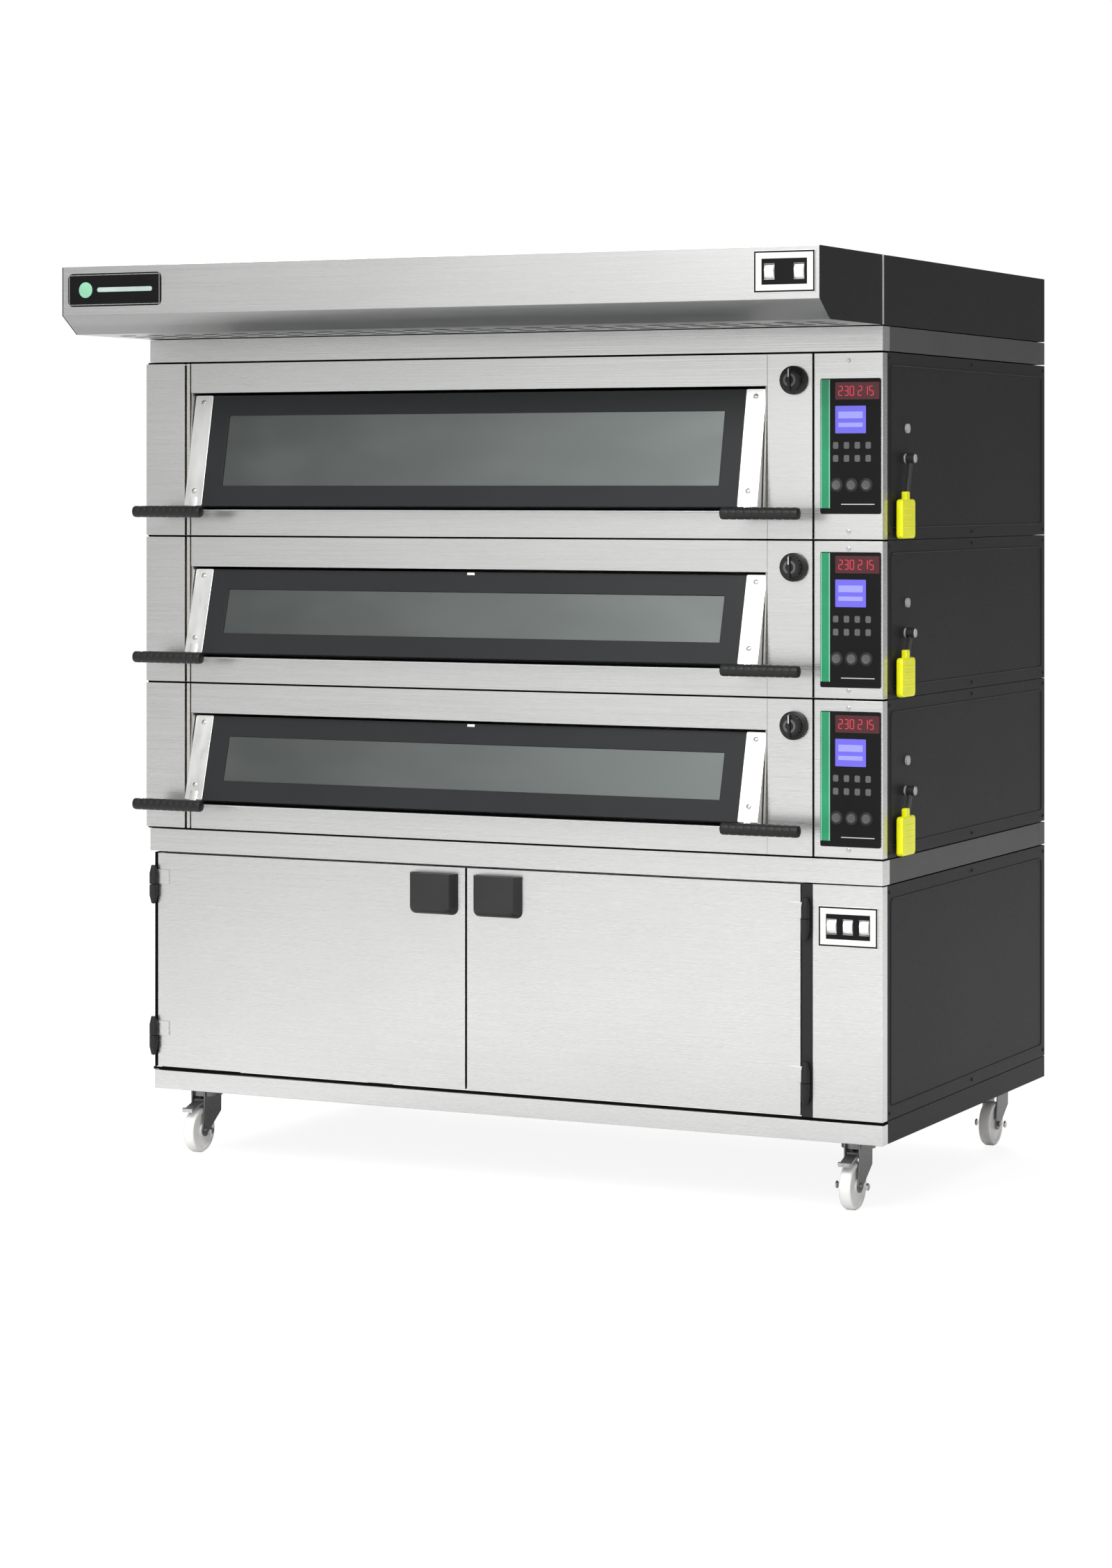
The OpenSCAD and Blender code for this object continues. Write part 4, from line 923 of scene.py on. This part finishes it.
def draw_digit(shape, digit, x, z, face, width, height):
    """A seven-segment digit whose lower left corner is at x, z."""
    t, half = width * 0.2, height / 2
    bars = {"a": (t, height - t, width - t, height), "b": (width - t, half, width, height - t / 2),
            "c": (width - t, t / 2, width, half), "d": (t, 0, width - t, t), "e": (0, t / 2, t, half),
            "f": (0, half, t, height - t / 2), "g": (t, half - t / 2, width - t, half + t / 2)}
    gap = t * 0.1
    for segment in SEGMENTS[digit]:
        x0, z0, x1, z1 = bars[segment]
        shape.panel((x + x0 + gap, x + x1 - gap), (z + z0 + gap, z + z1 - gap), face, 0.3, 0.2, "red_digits")


class OVEN_OT_control_units(bpy.types.Operator):
    """Control units: face, stripe, displays and flat keys"""
    bl_idname = "oven.control_units"
    bl_label = "Control units"

    def execute(self, context):
        units, plates, badges = [], [], []
        for solid in cad_islands("front_plates"):
            size = solid[2] - solid[1]
            kind = units if size.z > 200 * MM else plates if size.y > 5 * MM else badges
            kind.append(solid)
        for solids in (units, plates):
            solids.sort(key=lambda solid: solid[1].z)
        for deck, (_, low, high) in zip(DECKS, units):
            control_unit(deck, low, high)
        rocker_plates(plates)
        hood_badge(*badges[0][1:])
        for part, _, _ in units + badges:
            part.free()
        return {"FINISHED"}


def control_unit(deck, low, high):
    """One control unit, whose box is from low to high."""
    shape = Shape()
    face, back = low.y, front_y()
    shape.plate((low.x, face, low.z), (high.x, back, high.z), 4 * MM, "control_foil", edge=0.8 * MM)
    shape.box((low.x + 10 * MM, back - MM, low.z + 10 * MM), (high.x - 10 * MM, high.y, high.z - 10 * MM),
              "black_plastic", radius=2 * MM)
    stripe, line = low.x + 22 * MM, 2 * MM
    edges = (low.x + 1.5 * MM, low.x + 1.5 * MM + line, stripe - line, stripe)
    for x0, x1, name in zip(edges, edges[1:], ("stripe_pale", "stripe_green", "stripe_pale")):
        shape.panel((x0, x1), (low.z + 12 * MM, high.z - 2 * MM), face, 0.5, 0.5, name)
    left, right, top = stripe + 6 * MM, high.x - 5 * MM, high.z - 8 * MM
    shape.panel((left + 6 * MM, high.x - 2 * MM), (top - 36 * MM, top), face, 0.6, 0.5, "red_window", 2, 0.3)
    for group, number in enumerate(("230", "215")):
        for k, digit in enumerate(number):
            x = left + (13 + group * 43 + k * 12.6) * MM
            draw_digit(shape, digit, x, top - 28.5 * MM, face - 0.6 * MM, 10 * MM, 21 * MM)
    x0, x1, window_top = low.x + 34 * MM, low.x + 102 * MM, top - 49 * MM
    shape.panel((x0, x1), (window_top - 57 * MM, window_top), face, 0.6, 0.5, "blue_window", 2, 0.3)
    for above, below in ((12, 26), (35, 44)):
        shape.panel((x0 + 7 * MM, x1 - 7 * MM), (window_top - below * MM, window_top - above * MM), face, 0.9, 0.2,
                    "blue_bars", edge=0.3)
    for x in (left + (7 + k * 24) * MM for k in range(4)):
        for z in (high.z - 139 * MM, high.z - 166 * MM):
            shape.panel((x - 6 * MM, x + 6 * MM), (z - 7 * MM, z + 7 * MM), face, 0.8, 0.3, "flat_key", 3, 0.4)
    for key in KEYS:
        spot = centre(f"{deck}_key_{key}")
        shape.turned(mm((10.3, -0.4), (14, -0.4), (14, 0.6), (13, 1), (10.3, 1), (10.3, -0.4)),
                     (spot.x, face, spot.z), "y", "black_plastic")
    shape.panel(((low.x + high.x) / 2 - 20 * MM, right - 8 * MM), (low.z + 19 * MM, low.z + 21 * MM), face, 0.4, 0.3,
                "pale_grey_plastic")
    shape.finished(f"{deck}_control_unit", "oven", "panel_black", ["front_plates"])
    for key in KEYS:
        round_key(f"{deck}_key_{key}")


def round_key(name):
    """A round key with a dished top."""
    low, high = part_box(name)
    radius, depth = (high.x - low.x) / 2, high.y - low.y
    shape = Shape()
    shape.turned([(0, 0), (radius, 0), (radius, depth - 1 * MM), (radius - 1 * MM, depth),
                  (radius - 3 * MM, depth - 0.4 * MM), (0, depth - 1 * MM)],
                 ((low.x + high.x) / 2, high.y, (low.z + high.z) / 2), "y", "grey_rubber")
    shape.stands_for(name, name + "_cap")


def rocker_plates(plates):
    """The prover's and the hood's rocker plates, with their trims."""
    trims = Shape()
    for (_, low, high), names in zip(plates, ROCKERS.values()):
        rim(trims, low, high, 1 * MM, 3.2 * MM, "control_foil")
        rocker_well(trims, low, high, names)
    softened("rocker_frames", plates, "stainless_light", "oven", "panel_black", 0.5 * MM, ["front_plates"])
    trims.finished("rocker_trims", "oven", "panel_black")


def rocker_well(shape, low, high, names):
    """A dark field on a plate from low to high, open where each rocker comes through."""
    margin_x, margin_z = 0.13 * (high.x - low.x), 0.19 * (high.z - low.z)
    z0, z1 = low.z + margin_z, high.z - margin_z
    middle, half_w, half_h = (low.z + high.z) / 2, 11 * MM, 16 * MM
    columns = sorted(centre(name).x for name in names)
    edges = [low.x + margin_x] + [x + side * half_w for x in columns for side in (-1, 1)] + [high.x - margin_x]
    fields = [(span, (z0, z1)) for span in zip(edges[::2], edges[1::2])]
    fields += [((x - half_w, x + half_w), span) for x in columns
               for span in ((z0, middle - half_h), (middle + half_h, z1))]
    for span_x, span_z in fields:
        shape.panel(span_x, span_z, low.y, 0.4, 0.2, "control_foil")


def rim(shape, low, high, inset, width, name):
    """A thin flat frame on the front face of a box from low to high."""
    x0, z0, x1, z1 = low.x + inset, low.z + inset, high.x - inset, high.z - inset
    sides = (z0 + width, z1 - width)
    for x, z in (((x0, x1), (z0, z0 + width)), ((x0, x1), (z1 - width, z1)),
                 ((x0, x0 + width), sides), ((x1 - width, x1), sides)):
        shape.panel(x, z, low.y, 0.4, 0.2, name)


def hood_badge(low, high):
    """A blank badge with a disc and a bar."""
    badge = Shape()
    badge.plate(low, high, 12 * MM, "control_foil", edge=0.8 * MM)
    rim(badge, low, high, 3 * MM, 1.6 * MM, "chrome_screw")
    x, z = low.x + 46 * MM, (low.z + high.z) / 2
    badge.turned(mm((0, 0), (17, 0), (17, 0.8), (16, 1.4), (0, 1.4)), (x, low.y, z), "y", "stripe_pale")
    badge.panel((x + 30 * MM, high.x - 22 * MM), (z - 5 * MM, z + 5 * MM), low.y, 1.2, 0.4, "badge_mark", 4.5, 0.4)
    badge.finished("hood_badge", "oven", "panel_black", ["front_plates"])


class OVEN_OT_rockers(bpy.types.Operator):
    """White rockers with rounded edges"""
    bl_idname = "oven.rockers"
    bl_label = "Rockers"

    def execute(self, context):
        for name in ROCKERS["prover"] + ROCKERS["hood"]:
            soften_node(name, "white_plastic", radius=0.6 * MM)
        return {"FINISHED"}


class OVEN_OT_steam_levers(bpy.types.Operator):
    """Steam levers: charcoal plastic shanks with yellow grips, and the caps beside them"""
    bl_idname = "oven.steam_levers"
    bl_label = "Steam levers"

    def execute(self, context):
        for deck in DECKS:
            steam_lever(deck)
        soften_node("fittings", fitting_finish, radius=0.8 * MM)
        return {"FINISHED"}


def steam_lever(deck):
    """A boss on the pin, a slanted shank, and a yellow grip with a neck and ribs."""
    name = f"{deck}_steam_lever"
    low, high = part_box(name)
    pivot = Vector(JOINTS[f"{deck}_lever_turn"]["pos_m"])
    top, thick, y = low.z + 82 * MM, high.x - low.x, pivot.y - 30 * MM
    shape = Shape()
    shape.turned(mm((6.2, 0), (10.6, 0), (11, 0.4)) + [(11 * MM, thick - 0.4 * MM), (10.6 * MM, thick),
                                                       (6.2 * MM, thick), (6.2 * MM, 0)],
                 (low.x, pivot.y, pivot.z), "x", "charcoal_plastic")
    drop = pivot.z - top + 12 * MM
    slant = Matrix.Translation(pivot) @ Matrix.Rotation(-math.atan2(pivot.y - y, drop), 4, "X")
    shape.box((low.x + 4 * MM - pivot.x, -6 * MM, -math.hypot(drop, pivot.y - y)),
              (high.x - 4 * MM - pivot.x, 6 * MM, -10 * MM), "charcoal_plastic", radius=1.5 * MM, place=slant)
    shape.plate((low.x, y - 38 * MM, low.z), (high.x, y + 38 * MM, top), 9 * MM, "yellow_grip",
                axis="x", edge=4 * MM)
    shape.plate((low.x + 2 * MM, y - 11 * MM, top - 6 * MM), (high.x - 2 * MM, y + 9 * MM, top + 16 * MM),
                4 * MM, "yellow_grip", axis="x", edge=2 * MM)
    for z in (low.z + (22 + 13 * k) * MM for k in range(4)):
        shape.box((high.x - 0.6 * MM, y - 28 * MM, z), (high.x + 0.8 * MM, y + 28 * MM, z + 4 * MM),
                  "yellow_grip", radius=0.7 * MM)
    shape.stands_for(name, f"{deck}_lever_detail")


def fitting_finish(low, high):
    """The caps outside the right cover are plastic, the other fittings are bright."""
    return "pale_grey_plastic" if high.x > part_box("outer_covers")[1].x + MM else "chrome_screw"


class OVEN_OT_prover(bpy.types.Operator):
    """Prover doors, cup handles and hinges"""
    bl_idname = "oven.prover"
    bl_label = "Prover"

    def execute(self, context):
        for side in SIDES:
            soften_node(f"prover_door_{side}", "stainless", radius=1.0 * MM)
            prover_cup(side)
            hinge_covers(side)
        soften_node("prover_hinges", "black_plastic", radius=0.8 * MM)
        paint_node("prover_racks", "aluminised")
        return {"FINISHED"}


def cup_ring(middle, half, y, z0, z1, corner, steps=6):
    """The points of a cup's section at y: down the left, round the foot and up the right."""
    points = [(middle - half, y, z1)]
    for side, turns in ((-1, range(steps + 1)), (1, range(steps, -1, -1))):
        for k in turns:
            angle = math.pi / 2 * k / steps
            points.append((middle + side * (half - corner + corner * math.cos(angle)), y,
                           z0 + corner - corner * math.sin(angle)))
    return points + [(middle + half, y, z1)]


def prover_cup(side):
    """A cup handle, open at the top and drawn in towards its front."""
    name = f"prover_cup_{side}"
    low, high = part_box(name)
    middle, half = (low.x + high.x) / 2, (high.x - low.x) / 2
    y0, y1 = low.y, high.y
    part = bmesh.new()
    rings = []
    # each section's inset from the sides, place and height of its foot: outside from the back, then inside
    for inset, y, rise in ((0, y1, 0), (1.5, y1 - 6 * MM, 1), (9, y0 + 4 * MM, 5), (11.5, y0 + 1 * MM, 8),
                           (15, y0, 12), (17, y0 + 3 * MM, 14), (13, y0 + 7 * MM, 9), (3, y1, 3)):
        ring = cup_ring(middle, half - inset * MM, y, low.z + rise * MM, high.z, 14 * MM)
        rings.append([part.verts.new(point) for point in ring])
    for a, b in zip(rings, rings[1:] + rings[:1]):
        for k in range(len(a) - 1):
            part.faces.new((a[k], a[k + 1], b[k + 1], b[k]))
    front, back = rings[4], rings[5]
    part.faces.new(front)
    part.faces.new(back)
    part.faces.new((front[0], front[-1], back[-1], back[0]))
    for end in (0, -1):
        part.faces.new([ring[end] for ring in rings])
    shape = Shape()
    shape.take(part, "charcoal_plastic")
    # painted shade: faces that turn downward take the darker black plastic instead of the charcoal plastic
    dark = shape.index("black_plastic")
    for face in shape.bm.faces:
        if face.normal.z < -0.35:
            face.material_index = dark
    shape.stands_for(name, name + "_shell")


def hinge_covers(side):
    """Black barrels with tapered ends over a door's hinges, split where they turn."""
    x, y, _ = JOINTS[f"prover_door_{side}_hinge"]["pos_m"]
    door_low, door_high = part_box(f"prover_door_{side}")
    inset, radius, half = 70 * MM, 9.5 * MM, 33 * MM
    barrel = [(7.3 * MM, 0.8 * MM), (radius, 0.8 * MM), (radius, half - 8 * MM), (radius * 0.55, half + 10 * MM),
              (0, half + 12 * MM), (0, half + 2 * MM), (7.3 * MM, half + 0.5 * MM), (7.3 * MM, 0.8 * MM)]
    for name, z in (("lower", door_low.z + inset), ("upper", door_high.z - inset)):
        for part, body, way in (("top", f"prover_door_{side}", 1), ("foot", "oven", -1)):
            shape = Shape()
            shape.turned([(r, way * h) for r, h in barrel], (x, y, z), "z", "black_plastic", segments=32)
            shape.finished(f"hinge_{side}_{name}_{part}", body, "black_plastic")


class OVEN_OT_hood(bpy.types.Operator):
    """Hood canopy, covers, seam trims and intake slots"""
    bl_idname = "oven.hood"
    bl_label = "Hood"

    def execute(self, context):
        canopy = soften_node("hood_canopy", "stainless", radius=1.0 * MM).data
        # painted shade: the canopy's faces that turn downward take the darker copy of the steel
        canopy.materials.append(finish("stainless_dark"))
        for face in canopy.polygons:
            if face.normal.z < -0.2:
                face.material_index = 1
        soften_node("hood_covers", "anthracite", radius=0.5 * MM)
        soften_node("hood_fan", "aluminised", radius=0.5 * MM)
        low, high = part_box("hood_covers")
        front = front_y()
        trims = Shape()
        for x0, x1 in ((low.x, low.x + MM), (high.x - MM, high.x + 1.6 * MM)):
            trims.box((x0, front - 3 * MM, low.z + MM), (x1, front + 4 * MM, high.z - MM), "stainless_light",
                      radius=0.6 * MM)
        trims.finished("hood_seam_trims", "oven", "stainless")
        rows, columns = 3, 24
        slots = [(low.x + (high.x - low.x) * (k + 1) / (columns + 1), front - (70 + 60 * row) * MM, low.z)
                 for row in range(rows) for k in range(columns)]
        louvres("hood_intake_slots", slots, (0, 0, -1), mm((46, 9, 3))[0], "black_plastic")
        screw_x = (low.x + 30 * MM, 400 * MM, -400 * MM, high.x - 30 * MM)
        screw_y = (front + 20 * MM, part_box("hood_fan")[1].y + 60 * MM)
        screws("hood_screws", [(x, y, high.z) for x in screw_x for y in screw_y], (0, 0, 1), "oven")
        return {"FINISHED"}


class OVEN_OT_casters(bpy.types.Operator):
    """Caster forks, wheels and brake pedals"""
    bl_idname = "oven.casters"
    bl_label = "Casters"

    def execute(self, context):
        for end in ("front", "back"):
            for side in SIDES:
                fork, wheel = f"caster_fork_{end}_{side}", f"caster_wheel_{end}_{side}"
                soften_node(fork, "zinc", radius=0.7 * MM)
                soften_node(wheel, "nylon", radius=1.0 * MM)
                caster_details(fork, wheel)
        for side in SIDES:
            soften_node(f"brake_pedal_{side}", "zinc_light", radius=0.8 * MM)
        return {"FINISHED"}


def caster_details(fork, wheel):
    """Ball race and axle nuts."""
    low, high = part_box(fork)
    x, y, _ = JOINTS[fork.replace("caster_fork", "swivel")]["pos_m"]
    hub = centre(wheel)
    race = Shape()
    race.turned(mm((24, -3), (34, -3), (36, 0), (36, 4), (33, 5), (24, 5), (24, -3)),
                (x, y, high.z - 12 * MM), "z", "zinc_light")
    for nut_x in (low.x - 0.4 * MM, high.x - 3.6 * MM):
        race.turned(mm((0, 0), (8, 0), (8, 3), (7, 4), (0, 4)), (nut_x, hub.y, hub.z), "x", "chrome_screw",
                    segments=6)
    race.finished(fork + "_race", body_of(fork), slot_of(fork))


class OVEN_OT_insides(bpy.types.Operator):
    """Finishes of what is inside"""
    bl_idname = "oven.insides"
    bl_label = "Insides"

    def execute(self, context):
        paint_node("baking_chambers", "aluminised")
        paint_node("heating_elements", "heater_sheath")
        paint_node("steam_boxes", "aluminised")
        paint_node("insulation", "mineral_wool")
        soften_node("hearth_stones", "hearth_stone", radius=1.5 * MM)
        return {"FINISHED"}


class OVEN_OT_stage(bpy.types.Operator):
    """Pale floor, soft studio light and the camera"""
    bl_idname = "oven.stage"
    bl_label = "Stage"

    def execute(self, context):
        stage_floor()
        stage_world(context.scene)
        soft_light("key_light", (5.0, -7.0, 6.5), (0, 0, 1.0), 5.0, 20)
        soft_light("floor_light", (0.6, -4.2, 3.6), (0.6, -4.2, 0), 3.0, 200)
        soft_light("back_light", (-3.5, 7.0, 4.5), (0, 0.4, 1.0), 4.0, 900)
        data = bpy.data.cameras.new("view")
        data.sensor_width = 36
        data.lens = 87.17
        data.shift_y = -0.189
        data.clip_end = 200
        camera = placed("view", data)
        camera.location = (3.699, -7.6875, 1.509)
        camera.rotation_euler = (math.radians(90), 0, math.radians(25.86))
        context.scene.camera = camera
        context.scene.view_settings.view_transform = "Standard"
        return {"FINISHED"}


def soft_light(name, spot, target, size, power):
    """An area light at spot, turned to target."""
    data = bpy.data.lights.new(name, "AREA")
    data.size = size
    data.energy = power
    light = placed(name, data)
    light.location = spot
    light.rotation_euler = (Vector(target) - Vector(spot)).to_track_quat("-Z", "Y").to_euler()


def stage_floor():
    """A wide floor that looks white, with only a faint shadow, and still reflects as grey."""
    mesh = bpy.data.meshes.new("stage_floor")
    reach = 60
    mesh.from_pydata([(-reach, -reach, 0), (reach, -reach, 0), (reach, reach, 0), (-reach, reach, 0)], [],
                     [(0, 1, 2, 3)])
    material, tree, shader = shader_material("stage_floor", (0.75, 0.75, 0.75), 0.8, Specular_IOR_Level=0.0)
    seen = add_node(tree, "ShaderNodeLightPath").outputs["Is Camera Ray"]
    white = add_node(tree, "ShaderNodeEmission", Strength=1.12)
    mix = add_node(tree, "ShaderNodeMixShader")
    for socket, value in zip(mix.inputs, (math_node(tree, "MULTIPLY", seen, 0.8), shader.outputs["BSDF"],
                                          white.outputs["Emission"])):
        feed(tree, socket, value)
    feed(tree, tree.nodes["Material Output"].inputs["Surface"], mix.outputs["Shader"])
    mesh.materials.append(material)
    placed("stage_floor", mesh)


def stage_world(scene):
    """White behind the oven; softer white to the left and grey to the right, for the steel to reflect."""
    world = bpy.data.worlds.new("studio")
    scene.world = world
    world.use_nodes = True
    tree = world.node_tree
    generated = add_node(tree, "ShaderNodeTexCoord").outputs["Generated"]
    way = add_node(tree, "ShaderNodeSeparateXYZ", Vector=generated).outputs
    left = mapped(tree, way["X"], 0.34, 1.75, -0.58, -0.36)
    right = mapped(tree, way["X"], 1.0, 0.4, -0.15, 0.35)
    behind = mapped(tree, way["Y"], 1.0, 0.35, -0.2, 0.3)
    up = mapped(tree, way["Z"], 1.0, 0.72, 0.0, 0.12)
    above = add_node(tree, "ShaderNodeMix", A=1, B=mapped(tree, way["X"], 0.45, 1.7, -0.53, -0.40),
                     Factor=mapped(tree, way["Z"], 0, 1, 0.2, 0.35)).outputs["Result"]
    level = left
    for factor in (right, behind, up, above):
        level = math_node(tree, "MULTIPLY", level, factor)
    seen = add_node(tree, "ShaderNodeLightPath").outputs["Is Camera Ray"]
    feed(tree, tree.nodes["Background"].inputs["Color"], math_node(tree, "MAXIMUM", level, seen))
    tree.nodes["Background"].inputs["Strength"].default_value = 1.0


class OVEN_PT_panel(bpy.types.Panel):
    """The oven's steps"""
    bl_label = "Deck Oven"
    bl_idname = "OVEN_PT_panel"
    bl_space_type = "VIEW_3D"
    bl_region_type = "UI"
    bl_category = "Deck Oven"

    def draw(self, context):
        for step in STEPS:
            self.layout.operator(step.bl_idname)
        for group in (context.scene.oven_sizes, context.scene.oven_colours):
            for name in type(group).__annotations__:
                self.layout.prop(group, name)


STEPS = (OVEN_OT_stage, OVEN_OT_sheet_metal, OVEN_OT_front_gaskets, OVEN_OT_cover_details, OVEN_OT_doors,
         OVEN_OT_knobs, OVEN_OT_control_units, OVEN_OT_rockers, OVEN_OT_steam_levers, OVEN_OT_prover,
         OVEN_OT_hood, OVEN_OT_casters, OVEN_OT_insides)
CLASSES = (OvenSizes, OvenColours, *STEPS, OVEN_PT_panel)


def register():
    for cls in CLASSES:
        bpy.utils.register_class(cls)
    bpy.types.Scene.oven_sizes = PointerProperty(type=OvenSizes)
    bpy.types.Scene.oven_colours = PointerProperty(type=OvenColours)


def unregister():
    del bpy.types.Scene.oven_colours
    del bpy.types.Scene.oven_sizes
    for cls in reversed(CLASSES):
        bpy.utils.unregister_class(cls)


def main():
    """Makes every piece."""
    register()
    for step in STEPS:
        group, name = step.bl_idname.split(".")
        getattr(getattr(bpy.ops, group), name)()


if __name__ == "__main__":
    main()
